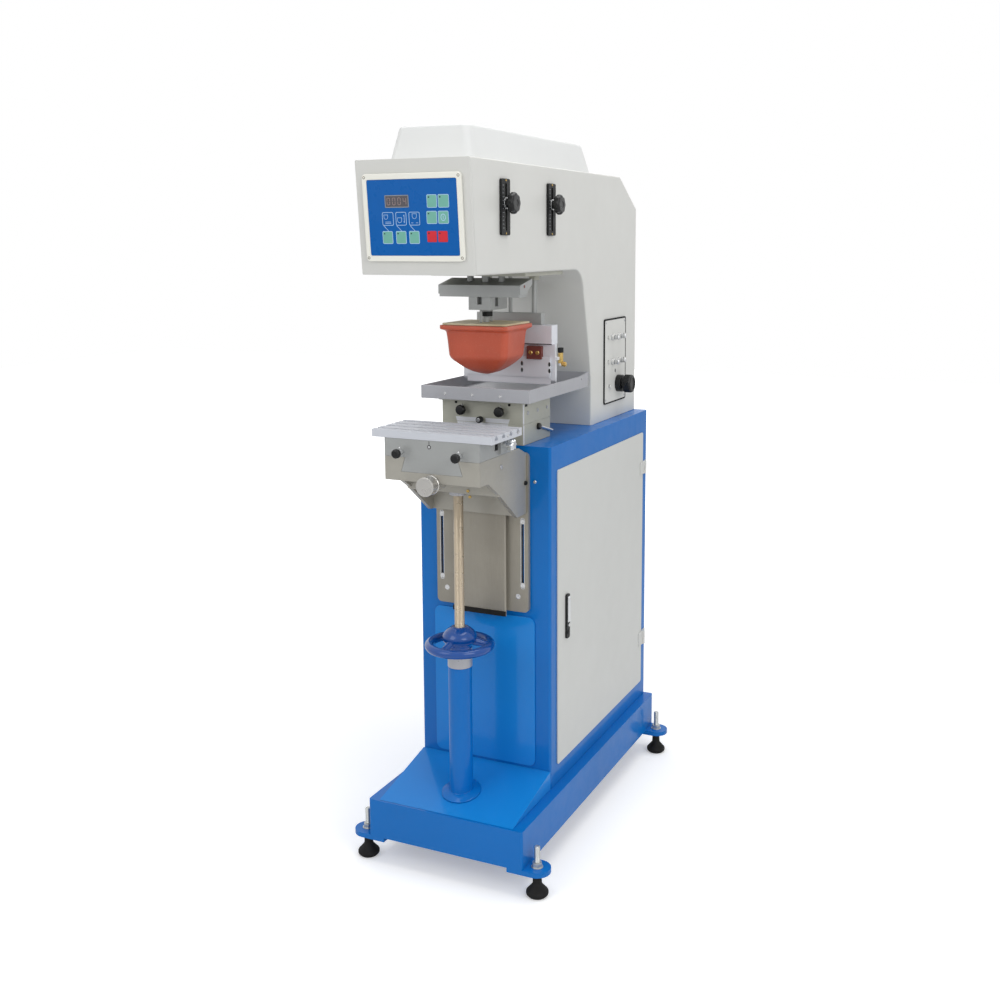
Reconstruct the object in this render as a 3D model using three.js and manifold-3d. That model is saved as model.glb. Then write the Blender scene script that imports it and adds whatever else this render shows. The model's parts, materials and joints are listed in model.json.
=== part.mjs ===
// Pad printing machine on a cabinet, in millimetres.
// X runs to the right, Y from the front to the back, Z up. The working frame has its zero on the
// centre plane, at the front face of the base and on the floor.
import * as THREE from 'three';
import { mergeVertices } from 'three/addons/utils/BufferGeometryUtils.js';
import Module from 'manifold-3d';

const wasm = await Module();
wasm.setup();

// Shared clearances and facets
const seatGap = 0.3;
const runGap = 0.5;
const overrun = 4;
const mergeDistance = 0.0001;
const roundFacets = 20;
const smallFacets = 12;
const cornerFacets = 3;
const pinFacets = 8;
const barrelFacets = 16;
const wheelFacets = 36;
const knobFacets = 32;
const hexFacets = 6;
const lobeSteps = 6;
const housingFacets = 6;
const housingBevelSteps = 2;
const quarterTurn = Math.PI / 2;
const fullTurn = Math.PI * 2;

// Base and levelling feet
const baseHalfWidth = 177;
const baseDepth = 798;
const baseBottom = 60;
const baseHeight = 81;
const baseWall = 4;
const baseCorner = 5;
const earThickness = 10;
const earRadius = 28;
const earReach = 20;
const earOverlap = 35;
const weldDepth = 1;
const studRadius = 6;
const studTop = 105;
const soleRadius = 23;
const soleFlatRadius = 18;
const soleFlank = 11;
const soleHeight = 26;
const soleEdge = 5;
const neckRadius = 9;
const neckHeight = 47;
const nutAcrossCorners = 21;
const nutHeight = 10;

// Cabinet, sloped cover and front cover
const cabinetHalfWidth = 154;
const cabinetFront = 193.5;
const cabinetTop = 878;
const cabinetWall = 3;
const cabinetCorner = 6;
const slopeFront = 5;
const slopeRise = 40;
const frontCoverHalfWidth = 119;
const frontCoverBottom = 187;
const frontCoverGap = 3;
const frontCoverThickness = 3;
const frontCoverCorner = 15;
const ventWidth = 130;
const ventHeight = 6;
const ventPitch = 22;
const ventCount = 5;
const ventDrop = 171;

// Door with its hinges and lock
const doorFront = 226;
const doorBackInset = 36;
const doorRise = 43;
const doorTopDrop = 52;
const doorSkin = 2.5;
const doorCorner = 6;
const doorLap = 10;
const doorRim = 14;
const doorRimWall = 2;
const hingePinSetBack = 8;
const hingePinReach = 5.2;
const hingeKnuckleRadius = 4.6;
const hingePinRadius = 2;
const hingeLeafWidth = 30;
const hingeLeafThickness = 2.2;
const upperHingeDrop = 104;
const upperHingeHeight = 31;
const lowerHingeRise = 97;
const lowerHingeHeight = 35;
const lockInset = 47.5;
const lockWidth = 17;
const lockRise = 268;
const lockLength = 97;
const lockThickness = 4;
const lockPocketDepth = 3;
const leverWidth = 11;
const leverTopInset = 5;
const leverLength = 56;
const leverThickness = 5;
const leverPinRadius = 1.2;
const lockButtonRadius = 4;
const lockButtonRise = 29;
const lockButtonReach = 5;
const lockButtonTravel = 2.5;
const keyRadius = 5;
const keyRise = 13;
const keyReach = 1.5;
const keySlotHalf = 0.8;
const leverPinHalf = 7;
const leverHeel = 0.6;

// Head and column housing with its top cover
const headHalfWidth = 121.5;
const headWall = 3;
const headEdge = 4;
const headRise = 355;
const headHeight = 211.5;
const headFrontTop = -86.3;
const headFrontBottom = -67.7;
const headBackInset = 2;
const chamferRun = 115.4;
const chamferDrop = 71.5;
const columnFront = 499.8;
const throatRadius = 50;
const throatArcCentre = 404;
const throatLeanReach = 52;
const throatLeanDrop = 100;
const throatLeanShare = 0.6;
const throatLeanLength = 196;
const mouthFront = -55;
const mouthBack = 395;
const mouthHalfWidth = 112;
const coverHalfWidth = 88.5;
const coverFront = -19.5;
const coverBackInset = 100.6;
const coverHeight = 67.5;
const coverTaper = 14;
const coverBackTaper = 23.5;
const coverEdge = 7;
const coverBevelDrop = 2.3;
const coverBevelReach = 1.8;
const coverCorner = 14;
const coverWall = 3;

// Control bezel and key panel on the sloping front of the head
const bezelHalfWidth = 103.5;
const bezelBottom = 26;
const bezelHeight = 160;
const bezelThickness = 6;
const bezelCorner = 8;
const keyPanelHalfWidth = 94;
const keyPanelMargin = 10.5;
const keyPanelThickness = 1.5;
const keyPanelRecess = 2.2;
const keyPanelCorner = 3;

// Scale plates and stroke knobs on the side of the head
const scalePlateWidth = 37;
const scalePlateRise = 73;
const scalePlateHeight = 105;
const scalePlateThickness = 5;
const scalePlateLip = 2;
const scalePlateCorner = 4;
const scaleSlotWidth = 8.6;
const scaleSlotMargin = 9;
const scaleNutWidth = 14;
const frontScaleCentre = 48;
const backScaleCentre = 266;
const frontKnobRise = 59.7;
const backKnobRise = 62.5;
const strokeKnobRadius = 20.5;
const strokeKnobLobe = 1;
const strokeKnobLobes = 8;
const strokeKnobLength = 13.5;
const strokeWasherRadius = 11.4;
const strokeWasherThickness = 2.2;
const strokeHubRadius = 9;
const strokeHubLength = 7;
const strokeStudRadius = 3.6;
const strokeNutDepth = 2.2;

// Pneumatic panel on the side of the column
const airPanelWidth = 140.5;
const airPanelRise = 39;
const airPanelHeight = 196.5;
const airPanelThickness = 2.2;
const airPanelCorner = 8;
const valveBodyRadius = 7;
const valveBodyReach = 8;
const valveKnobRadius = 5.5;
const valveKnobReach = 11;
const valveStemRadius = 2.5;
const valveStemDepth = 5;
const valveRowRises = [154, 96];
const valveInset = 48;
const ventPlugInset = 25;
const backPlugInset = 8.3;
const ventPlugRadius = 4;
const ventPlugReach = 4;
const testPortRise = 38;
const testPortInset = 33;
const regulatorInset = 88;
const regulatorRise = 41;
const regulatorCollarRadius = 20;
const regulatorCollarReach = 13;
const regulatorNeckRadius = 13;
const regulatorNeckReach = 5;
const regulatorKnobRadius = 21.5;
const regulatorKnobLength = 21;
const regulatorKnobEdge = 2.6;
const regulatorFaceRadius = 15;
const regulatorStemRadius = 5;
const regulatorStemDepth = 9;

// Guide plate with dovetail on the cabinet front
const guideHalfWidth = 108;
const guideHeight = 339;
const guideTopDrop = 13;
const guideThickness = 9;
const guideCorner = 10;
const guideSlotInset = 13;
const guideSlotWidth = 7;
const guideSlotRise = 51;
const guideSlotHeight = 150;
const guideHoleRadius = 4;
const guideHoleInset = 24;
const guideHoleRise = 33;
const railHalfWidth = 62;
const railUndercut = 8;
const railDepth = 14;
const railDrop = 9;
const railChamfer = 3;

// Knee with its screw, tube and handwheel
const kneeHalfWidth = 104;
const kneeFront = -27;
const kneeDrop = 45;
const deckThickness = 18;
const deckBack = 150;
const cheekRise = 29;
const gussetThickness = 9;
const gussetNose = 36;
const gussetKnuckleY = 52;
const gussetKnuckleDrop = 27;
const gussetFootY = 140;
const gussetFootDrop = 94;
const kneeRunGap = 0.5;
const bridgeFront = 58;
const bridgeDepth = 48;
const bridgeDrop = 35;
const bridgeHeight = 22;
const screwAxisY = 81;
const leadScrewRadius = 11;
const leadScrewBottom = 354;
const screwCollarRadius = 18;
const screwCollarHeight = 7;
const screwJournalRadius = 10;
const tubeRadius = 24.5;
const tubeWall = 4;
const tubeTop = 431;
const weldRingRadius = 41.5;
const weldRingHeight = 8;
const weldRingEdge = 2.7;
const weldRingShoulder = 4;
const collarRadius = 25.5;
const collarHeight = 38.7;
const wheelRadius = 72;
const wheelRimRadius = 9.2;
const wheelRimRise = 45;
const hubRadius = 35.5;
const hubRise = 10;
const hubEdgeHeight = 11;
const hubDomeRise = 39;
const hubDomeRadius = 17;
const hubShoulderRadius = 29;
const hubShoulderDrop = 8;
const spokeCount = 3;
const spokeRadius = 6.5;
const spokeRootRadius = 8.5;
const spokeRootRise = 11;
const spokeStartShare = 0.722;
const rimSteps = 8;

// Cross slide and table
const slideBack = 110;
const slideHeight = 65.2;
const slideDovetailHalf = 67;
const slideDovetailLean = 9;
const slotHalfWidth = 14;
const slotFront = 10;
const slotBack = 125;
const nutLugHalfWidth = 10;
const nutLugLength = 20;
const nutLugCentre = 62;
const nutLugDrop = 12;
const crossScrewDrop = 2.5;
const turnedKnobRadius = 19;
const turnedKnobLength = 28;
const turnedKnobRound = 3;
const crossScrewRadius = 6;
const crossScrewEnd = 128;
const bossRadius = 15;
const bossBack = 6;
const tableHalfWidth = 132;
const tableFront = -28;
const tableDepth = 131;
const tableThickness = 15.5;
const tableRise = 0.3;
const slotCount = 4;
const slotPitch = 32;
const slotNeck = 8;
const slotNeckDepth = 4.5;
const slotHead = 13;
const slotHeadDepth = 5;
const tableRailCentre = 66;
const tableRailHalf = 27.5;
const tableRailLean = 6;
const tableRailHeight = 23;
const tableRailHalfLength = 62;
const tableScrewRadius = 5;
const tableScrewEnd = -60;
const starKnobDrop = 13.2;
const starKnobRadius = 12.5;
const starKnobLobe = 2.2;
const starKnobLobes = 6;
const starKnobLength = 15;
const starHubRadius = 7;
const starHubLength = 8;
const bracketThickness = 7;
const bracketHalfDepth = 13;
const bracketDrop = 18;

// Clamp knobs with a small lever
const clampShaftRadius = 4;
const clampShaftDepth = 16;
const clampHubRadius = 5;
const tableHubLength = 18;
const bedHubLength = 9;
const clampLeverRadius = 1.8;
const clampLeverLength = 13;
const tableClampOffset = 64.5;
const tableClampDrop = 26.2;
const tableClampRadius = 9.5;
const bedClampOffset = 44.5;
const bedClampRise = 26;
const bedClampRadius = 11;
const clampDiscLength = 10;
const clampDiscRound = 2;

// Ink bed, tray and cliche plate
const bedHalfWidth = 94.6;
const bedFront = 192.5;
const bedDepth = 135.5;
const bedBaseHeight = 42.7;
const bedSlideHeight = 45;
const bedLipHalfWidth = 99;
const bedLipOverhang = 7;
const bedLipHeight = 4.7;
const bedRailHalf = 46;
const bedRailLean = 6;
const bedRailHeight = 16;
const bedLugHalfWidth = 8;
const bedLugSetBack = 59.5;
const bedLugLength = 16;
const bedLugHeight = 16;
const bedSlideTravel = 8;
const bedScrewRise = 8;
const bedScrewRadius = 3.8;
const bedScrewEnd = 284;
const bedKnobRadius = 7;
const bedKnobLength = 12;
const trayHalfWidth = 124.7;
const trayFront = 155.2;
const trayDepth = 314.8;
const trayWall = 4;
const trayFloor = 4;
const trayHeight = 27.5;
const trayFlareLength = 66;
const trayFlareRise = 6;
const trayFlareReach = 5;
const clicheHalfWidth = 85;
const clicheInset = 16.8;
const clicheDepth = 238;
const clicheThickness = 6;
const clicheCorner = 4;

// Slide frame, guide rods, cylinder and carriage in the head
const frameHalfWidth = 112;
const framePlateThickness = 8;
const framePlateInset = 40.6;
const bracketDepth = 12;
const frontBracketFront = -42;
const backBracketFront = 385;
const guideRodRadius = 9;
const guideRodOffset = 92;
const guideRodRise = 26;
const airCylinderRadius = 20;
const airCylinderWall = 4;
const airCylinderLength = 205;
const pistonRodRadius = 8;
const pistonRodLength = 190;
const carriageHalfWidth = 108;
const carriageFront = 175;
const carriageBack = 365;
const carriageDrop = 8;
const carriageHeight = 62;
const carriageRibWidth = 34;
const carriageWeb = 14;
const padBarrelRadius = 26;
const padBarrelRise = 159;
const padRodRadius = 9;
const padRodDrop = 20;
const padGuideRadius = 7;
const padGuideOffset = 36;
const padGuideRise = 99;
const padBossRadius = 11.9;
const bladeBossRadius = 11.2;
const scraperBarrelRadius = 15;
const scraperBarrelRise = 126;
const bladeBushRadius = 11.5;
const bladeBushDrop = 12;

// Pad head
const padCentre = 214;
const padRailHalfWidth = 93.8;
const padRailFront = 179.6;
const padRailBack = 239;
const padRailDrop = 42.7;
const padRailFrontHeight = 24.3;
const padRailBackHeight = 37.1;
const padRailBarDepth = 36.9;
const padRailWing = 12;
const padRailLip = 5.6;
const padRailLipInset = 2.8;
const padRodRoot = 20;
const adaptorHalfWidth = 25;
const adaptorFront = 183;
const adaptorBack = 262;
const adaptorHeight = 26.5;
const adaptorNotchWidth = 10;
const adaptorNotchHeight = 15;
const adaptorNotchDepth = 14;
const adaptorSideFront = 206;
const adaptorSideWidth = 14;
const adaptorSideHeight = 20;
const adaptorSideDepth = 8;
const adaptorStudRadius = 7;
const adaptorNutRadius = 12.5;
const adaptorNutHeight = 13;
const adaptorPinOffset = 24;
const adaptorPinRadius = 3;
const padBaseThickness = 3.6;
const padBaseDrop = 26.5;
const padBaseInset = 4;
const padFlangeHalfWidth = 77;
const padFlangeHalfDepth = 66;
const padFlangeHeight = 11;
const padBodyHalfWidth = 68;
const padBodyHalfDepth = 50;
const padShoulderDrop = 64.1;
const padApexDrop = 104.1;
const padCorner = 8;
const padBodyCorner = 10;
const padTipShare = 0.03;
const padShoulderShare = 0.98;
const padRootWidthShare = 1.05;
const padRootDepthShare = 1.04;
const padFlangeEdge = 3.7;
const padCrownShares = [[0.03, 0.10], [0.16, 0.32], [0.36, 0.54], [0.62, 0.76], [0.85, 0.92]];

// Doctor blade unit
const scraperRodCentre = 331;
const crossbarHalfWidth = 76.8;
const crossbarHalfDepth = 10;
const crossbarDrop = 106.7;
const crossbarHeight = 24.7;
const scraperRodRadius = 5.6;
const scraperRodOffset = 56.3;
const scraperRodRise = 84;
const scraperPistonRadius = 4.3;
const scraperPistonDrop = 12;
const holderHalfWidth = 104.5;
const holderFront = 314;
const holderBack = 345;
const holderDrop = 41.3;
const holderPlateHalfWidth = 109.6;
const holderPlateThickness = 10;
const holderPlateInset = 6;
const holderPlateDrop = 82;
const holderWindowHalfWidth = 26;
const holderWindowHeight = 14;
const bladeHalfWidth = 100;
const bladeThickness = 1.5;
const bladeDrop = 5;
const bladeHeight = 34;
const bladeKeyHeight = 60;
const bladeKeyThickness = 4;
const hoseFittingOffset = 114;
const hoseFittingRadius = 5;
const hoseFittingHeight = 38;
const hoseFittingSeat = 12.7;
const hoseFittingSeatHeight = 6.3;
const holderPlateChamfer = 5;
const hoseFittingRise = 36;

// Inside the cabinet and on its back
const controlBoxDepth = 90;
const controlBoxInset = 318;
const controlBoxLength = 280;
const controlBoxDrop = 331;
const controlBoxHeight = 240;
const controlBoxLid = 10;
const controlBoxLip = 4;
const manifoldFront = 300;
const manifoldLength = 150;
const manifoldBottom = 387;
const manifoldHeight = 34;
const manifoldDepth = 46;
const manifoldValveCount = 5;
const manifoldValveHeight = 62;
const manifoldValveShare = 0.72;
const inletFlangeHalfWidth = 25;
const inletFlangeHeight = 32;
const inletFlangeThickness = 3;
const inletBottom = 287;
const inletPocketInset = 6;
const inletPocketDepth = 14;
const inletBodyDepth = 18;
const inletWall = 3;
const servicePlateRight = 78;
const servicePlateCorner = 3;
const airInletOffset = 60;
const airInletRadius = 10;
const airInletReach = 16;
const airInletBore = 5;

// Values that follow from the sizes above: base, cabinet and door
const baseTop = baseBottom + baseHeight;
const slopeBottom = baseTop + seatGap;
const slopeAngle = Math.atan(slopeRise / (cabinetFront - slopeFront));
const slopeZ = (y) => slopeBottom + (y - slopeFront) * Math.tan(slopeAngle);
const ventBottom = cabinetTop - ventDrop;
const doorX = cabinetHalfWidth + seatGap;
const doorBottom = baseTop + doorRise;
const doorTop = cabinetTop - doorTopDrop;
const doorBack = baseDepth - doorBackInset;
const hingeY = doorBack + hingePinSetBack;
const hingeX = cabinetHalfWidth + hingePinReach;
const upperHingeBottom = doorTop - upperHingeDrop;
const lowerHingeBottom = doorBottom + lowerHingeRise;
const lockCentre = doorFront + lockInset;
const lockBottom = doorBottom + lockRise;
const lockTop = lockBottom + lockLength;
const leverTop = lockTop - leverTopInset;
const lockButtonHeight = lockBottom + lockButtonRise;
const keyHeight = lockBottom + keyRise;

// Values that follow: head, scale plates and pneumatic panel
const headBack = baseDepth - headBackInset;
const headBottom = cabinetTop + headRise;
const headTop = headBottom + headHeight;
const chamferStart = headBack - chamferRun;
const chamferBottom = headTop - chamferDrop;
const coverBack = chamferStart - coverBackInset;
const framePlateBack = chamferStart - framePlateInset;
const throatLeanTop = throatArcCentre + throatLeanReach;
const tiltAngle = Math.atan((headFrontBottom - headFrontTop) / (headTop - headBottom));
const sideX = headHalfWidth + seatGap;
const scaleFace = sideX + scalePlateThickness;
const scalePlateBottom = headBottom + scalePlateRise;
const frontKnobHeight = scalePlateBottom + frontKnobRise;
const backKnobHeight = scalePlateBottom + backKnobRise;
const airPanelFace = sideX + airPanelThickness;
const airPanelFront = (columnFront + headBack - airPanelWidth) / 2;
const airPanelBack = airPanelFront + airPanelWidth;
const airPanelBottom = cabinetTop + airPanelRise;
const airPanelTop = airPanelBottom + airPanelHeight;
const valveRowHeights = valveRowRises.map((rise) => airPanelBottom + rise);
const testPortHeight = airPanelBottom + testPortRise;
const regulatorCentre = airPanelFront + regulatorInset;
const regulatorHeight = airPanelBottom + regulatorRise;

// Values that follow: guide, knee, screw and table
const guideTop = cabinetTop - guideTopDrop;
const guideBottom = guideTop - guideHeight;
const guideBackY = cabinetFront - seatGap;
const guideFaceY = guideBackY - guideThickness;
const guideSlotBottom = guideBottom + guideSlotRise;
const guideHoleHeight = guideBottom + guideHoleRise;
const railFaceY = guideFaceY - railDepth;
const railBottom = guideBottom - railDrop;
const frontCoverTop = railBottom - frontCoverGap;
const kneeBottom = cabinetTop - kneeDrop;
const deckTop = kneeBottom + deckThickness;
const cheekTop = deckTop + cheekRise;
const gussetKnuckleZ = kneeBottom - gussetKnuckleDrop;
const gussetFootZ = kneeBottom - gussetFootDrop;
const bridgeBack = bridgeFront + bridgeDepth;
const bridgeBottom = kneeBottom - bridgeDrop;
const wheelRimHeight = tubeTop + wheelRimRise;
const hubDomeTop = wheelRimHeight + hubDomeRise;
const slideTop = deckTop + slideHeight;
const nutLugBottom = kneeBottom - nutLugDrop;
const turnedKnobHeight = kneeBottom - crossScrewDrop;
const starKnobHeight = slideTop - starKnobDrop;
const bracketBottom = starKnobHeight - bracketDrop;
const tableClampHeight = slideTop - tableClampDrop;
const tableBottom = slideTop + tableRise;
const tableTop = tableBottom + tableThickness;

// Values that follow: bed and ink tray
const bedBack = bedFront + bedDepth;
const bedBottom = cabinetTop + seatGap;
const bedBaseTop = bedBottom + bedBaseHeight;
const bedSlideTop = bedBaseTop + bedSlideHeight;
const bedLipTop = bedSlideTop + bedLipHeight;
const bedLugFront = bedFront + bedLugSetBack;
const bedLugTop = bedBaseTop + bedLugHeight;
const bedScrewHeight = bedBaseTop + bedScrewRise;
const bedClampHeight = bedBaseTop + bedClampRise;
const trayBottom = bedLipTop + seatGap;
const trayRim = trayBottom + trayHeight;
const trayBack = trayFront + trayDepth;
const trayFlareStart = trayBack - trayFlareLength;
const clicheBottom = trayBottom + trayFloor + seatGap;
const clicheFront = trayFront + clicheInset;
const clicheBack = clicheFront + clicheDepth;

// Values that follow: carriage, pad head and doctor blade
const framePlateTop = headTop - headWall - seatGap;
const framePlateBottom = framePlateTop - framePlateThickness;
const guideRodHeight = headBottom + guideRodRise;
const carriageBottom = headBottom - carriageDrop;
const padBarrelTop = headBottom + padBarrelRise;
const padRodTop = padBarrelTop - padRodDrop;
const padGuideTop = headBottom + padGuideRise;
const scraperBarrelTop = headBottom + scraperBarrelRise;
const scraperRodTop = headBottom + scraperRodRise;
const scraperPistonTop = scraperBarrelTop - scraperPistonDrop;
const padRailBottom = carriageBottom - padRailDrop;
const adaptorTop = padRailBottom - seatGap;
const adaptorBottom = adaptorTop - adaptorHeight;
const padBaseTop = adaptorBottom - padBaseDrop;
const padBaseBottom = padBaseTop - padBaseThickness;
const padTop = padBaseBottom - seatGap;
const padShoulder = padTop - padShoulderDrop;
const padApex = padTop - padApexDrop;
const crossbarBottom = carriageBottom - crossbarDrop;
const holderBottom = crossbarBottom - holderDrop;
const holderPlateBottom = holderBottom - holderPlateDrop;
const bladeBottom = holderPlateBottom - bladeDrop;
const hoseFittingBottom = holderPlateBottom + hoseFittingRise;

// Values that follow: inside the cabinet
const controlBoxFront = baseDepth - controlBoxInset;
const controlBoxBack = controlBoxFront + controlBoxLength;
const controlBoxBottom = cabinetTop - controlBoxDrop;
const controlBoxTop = controlBoxBottom + controlBoxHeight;
const manifoldBack = manifoldFront + manifoldLength;

// Materials
const finish = (color, roughness, metalness) =>
  new THREE.MeshStandardMaterial({ color, roughness, metalness });
const blueEnamel = finish(0x2a69b4, 0.4, 0.1);
const coverBlue = finish(0x2e73b8, 0.4, 0.1);
const wheelBlue = finish(0x1e50a5, 0.25, 0.1);
const whiteEnamel = finish(0xdcdcd8, 0.45, 0.1);
const machinedSteel = finish(0x969488, 0.35, 0.9);
const groundSteel = finish(0xb4b4b0, 0.25, 0.95);
const aluminium = finish(0xb9bab8, 0.35, 0.9);
const chrome = finish(0xe0e0e0, 0.1, 1);
const brass = finish(0xb49650, 0.3, 0.9);
const blackPlastic = finish(0x242424, 0.5, 0);
const blackRubber = finish(0x2b2b2b, 0.8, 0);
const membraneBlue = finish(0x0f64b4, 0.5, 0);
const siliconeRed = finish(0xb9533e, 0.5, 0);
const paleWood = finish(0xd8c9a0, 0.7, 0);
const greyPlastic = finish(0x8c8f92, 0.6, 0);

// Solids: each helper returns a closed solid that can be joined and cut
function solidOf(geometry) {
  const bare = geometry.clone();
  bare.deleteAttribute('normal');
  bare.deleteAttribute('uv');
  const merged = mergeVertices(bare, mergeDistance);
  return new wasm.Manifold(new wasm.Mesh({
    numProp: 3,
    vertProperties: new Float32Array(merged.attributes.position.array),
    triVerts: new Uint32Array(merged.index.array),
  }));
}

function geometryOf(solid) {
  const mesh = solid.getMesh();
  const geometry = new THREE.BufferGeometry();
  geometry.setAttribute('position', new THREE.BufferAttribute(mesh.vertProperties, mesh.numProp));
  geometry.setIndex(new THREE.BufferAttribute(mesh.triVerts, 1));
  return geometry;
}

const join = (first, ...rest) => rest.reduce((sum, next) => sum.add(next), first);
const cut = (first, ...rest) => rest.reduce((sum, next) => sum.subtract(next), first);

function box([x0, x1], [y0, y1], [z0, z1]) {
  const geometry = new THREE.BoxGeometry(x1 - x0, y1 - y0, z1 - z0);
  geometry.translate((x0 + x1) / 2, (y0 + y1) / 2, (z0 + z1) / 2);
  return solidOf(geometry);
}

const polygon = (points) => new THREE.Shape(points.map(([u, v]) => new THREE.Vector2(u, v)));

function roundedRect([u0, u1], [v0, v1], radius) {
  const shape = new THREE.Shape();
  shape.moveTo(u0 + radius, v0);
  shape.lineTo(u1 - radius, v0);
  shape.absarc(u1 - radius, v0 + radius, radius, -quarterTurn, 0);
  shape.lineTo(u1, v1 - radius);
  shape.absarc(u1 - radius, v1 - radius, radius, 0, quarterTurn);
  shape.lineTo(u0 + radius, v1);
  shape.absarc(u0 + radius, v1 - radius, radius, quarterTurn, 2 * quarterTurn);
  shape.lineTo(u0, v0 + radius);
  shape.absarc(u0 + radius, v0 + radius, radius, 2 * quarterTurn, 3 * quarterTurn);
  return shape;
}

// Extrusions along one axis: a shape's two coordinates are the other two axes, in order
const axisFrames = {
  x: [[0, 1, 0], [0, 0, 1], [1, 0, 0]],
  y: [[1, 0, 0], [0, 0, 1], [0, -1, 0]],
  z: [[1, 0, 0], [0, 1, 0], [0, 0, 1]],
};

function extrude(axis, shape, [from, to], options = {}) {
  const geometry = new THREE.ExtrudeGeometry(shape, {
    depth: to - from,
    bevelEnabled: false,
    curveSegments: cornerFacets,
    ...options,
  });
  const [u, v, w] = axisFrames[axis].map((direction) => new THREE.Vector3(...direction));
  geometry.applyMatrix4(new THREE.Matrix4().makeBasis(u, v, w));
  const start = axis === 'y' ? to : from;
  const shift = w.clone().multiplyScalar(axis === 'y' ? -start : start);
  geometry.translate(shift.x, shift.y, shift.z);
  return solidOf(geometry);
}

// Round pieces: a profile of [radius, height] turned about an axis through a point
function turned(axis, profile, [x, y, z], facets = roundFacets) {
  const points = profile.map(([radius, height]) => new THREE.Vector2(radius, height));
  const geometry = new THREE.LatheGeometry(points, facets);
  if (axis === 'x') geometry.rotateZ(-quarterTurn);
  if (axis === 'z') geometry.rotateX(quarterTurn);
  geometry.translate(x, y, z);
  return solidOf(geometry);
}

function rod(axis, radius, [from, to], [u, v], facets = roundFacets) {
  const centre = { x: [from, u, v], y: [u, from, v], z: [u, v, from] }[axis];
  return turned(axis, [[0, 0], [radius, 0], [radius, to - from], [0, to - from]], centre, facets);
}

function ring(axis, outer, inner, [from, to], [u, v], facets = roundFacets) {
  const centre = { x: [from, u, v], y: [u, from, v], z: [u, v, from] }[axis];
  const length = to - from;
  const profile = [[inner, 0], [outer, 0], [outer, length], [inner, length], [inner, 0]];
  return turned(axis, profile, centre, facets);
}

// A closed skin over outlines of as many points each, lowest first
function loft(outlines) {
  const count = outlines[0].length;
  const positions = outlines.flat().flatMap((point) => [point.x, point.y, point.z]);
  const faces = [];
  for (let level = 0; level + 1 < outlines.length; level += 1) {
    for (let i = 0; i < count; i += 1) {
      const a = level * count + i;
      const b = level * count + (i + 1) % count;
      faces.push(a, b, b + count, a, b + count, a + count);
    }
  }
  const last = (outlines.length - 1) * count;
  for (let i = 1; i + 1 < count; i += 1) {
    faces.push(0, i + 1, i);
    faces.push(last, last + i, last + i + 1);
  }
  const geometry = new THREE.BufferGeometry();
  geometry.setAttribute('position', new THREE.Float32BufferAttribute(positions, 3));
  geometry.setIndex(faces);
  return solidOf(geometry);
}

function outlineAt(height, [u0, u1], [v0, v1], radius) {
  const points = roundedRect([u0, u1], [v0, v1], radius).getPoints(cornerFacets);
  const closing = points.length - 1;
  if (points[0].distanceTo(points[closing]) < mergeDistance) points.length = closing;
  return points.map((point) => new THREE.Vector3(point.x, point.y, height));
}

// A round outline whose radius swells and shrinks once for each lobe
function lobedShape(radius, lobe, lobes) {
  const points = [];
  const steps = lobes * lobeSteps;
  for (let i = 0; i < steps; i += 1) {
    const angle = fullTurn * i / steps;
    const reach = radius - lobe + lobe * Math.cos(lobes * angle);
    points.push([reach * Math.cos(angle), reach * Math.sin(angle)]);
  }
  return polygon(points);
}

const machine = new THREE.Group();

function piece(name, solid, material, parent = machine) {
  const mesh = new THREE.Mesh(geometryOf(solid), material);
  mesh.name = name;
  parent.add(mesh);
  return mesh;
}

function groupAt(x, y, z, parent = machine) {
  const group = new THREE.Group();
  group.position.set(x, y, z);
  parent.add(group);
  return group;
}

// Base: an open-bottomed welded box with a levelling ear at each corner
const footX = baseHalfWidth + earReach;
const footYs = [earRadius, baseDepth - earRadius];
const footPlaces = footYs.flatMap((y) => [[-footX, y], [footX, y]]);
const earTop = baseBottom + weldDepth;
const earBottom = earTop - earThickness;

function ear([x, y]) {
  const side = Math.sign(x);
  const inner = x - side * (earReach + earOverlap);
  const plate = join(
    box([Math.min(inner, x), Math.max(inner, x)], [y - earRadius, y + earRadius], [earBottom, earTop]),
    rod('z', earRadius, [earBottom, earTop], [x, y]),
  );
  const reach = [earBottom - overrun, earTop + overrun];
  const hole = rod('z', studRadius + runGap, reach, [x, y], smallFacets);
  return cut(plate, hole);
}

function baseFrame() {
  const outline = roundedRect([-baseHalfWidth, baseHalfWidth], [0, baseDepth], baseCorner);
  const inside = [baseHalfWidth - baseWall, baseWall, baseDepth - baseWall];
  const shell = cut(
    extrude('z', outline, [baseBottom, baseTop]),
    box([-inside[0], inside[0]], [inside[1], inside[2]], [baseBottom - overrun, baseTop - baseWall]),
  );
  return join(shell, ...footPlaces.map(ear));
}

piece('base_frame', baseFrame(), blueEnamel);

// A levelling foot with its stud and the lock nut that clamps it to the ear
function levellingFoot() {
  const foot = turned('z', [
    [0, 0],
    [soleFlatRadius, 0],
    [soleRadius, soleEdge],
    [soleRadius, soleFlank],
    [soleRadius - soleEdge, soleFlank + soleEdge],
    [neckRadius, soleHeight],
    [neckRadius, neckHeight],
    [studRadius, neckHeight],
    [studRadius, studTop],
    [0, studTop],
  ], [0, 0, 0], roundFacets);
  const nutBottom = earTop + seatGap;
  return join(foot, rod('z', nutAcrossCorners / 2, [nutBottom, nutBottom + nutHeight], [0, 0],
    hexFacets));
}

const footNames = ['foot_front_left', 'foot_front_right', 'foot_back_left', 'foot_back_right'];
footPlaces.forEach(([x, y], i) => {
  piece(footNames[i], levellingFoot(), blackRubber, groupAt(x, y, 0));
});

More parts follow.
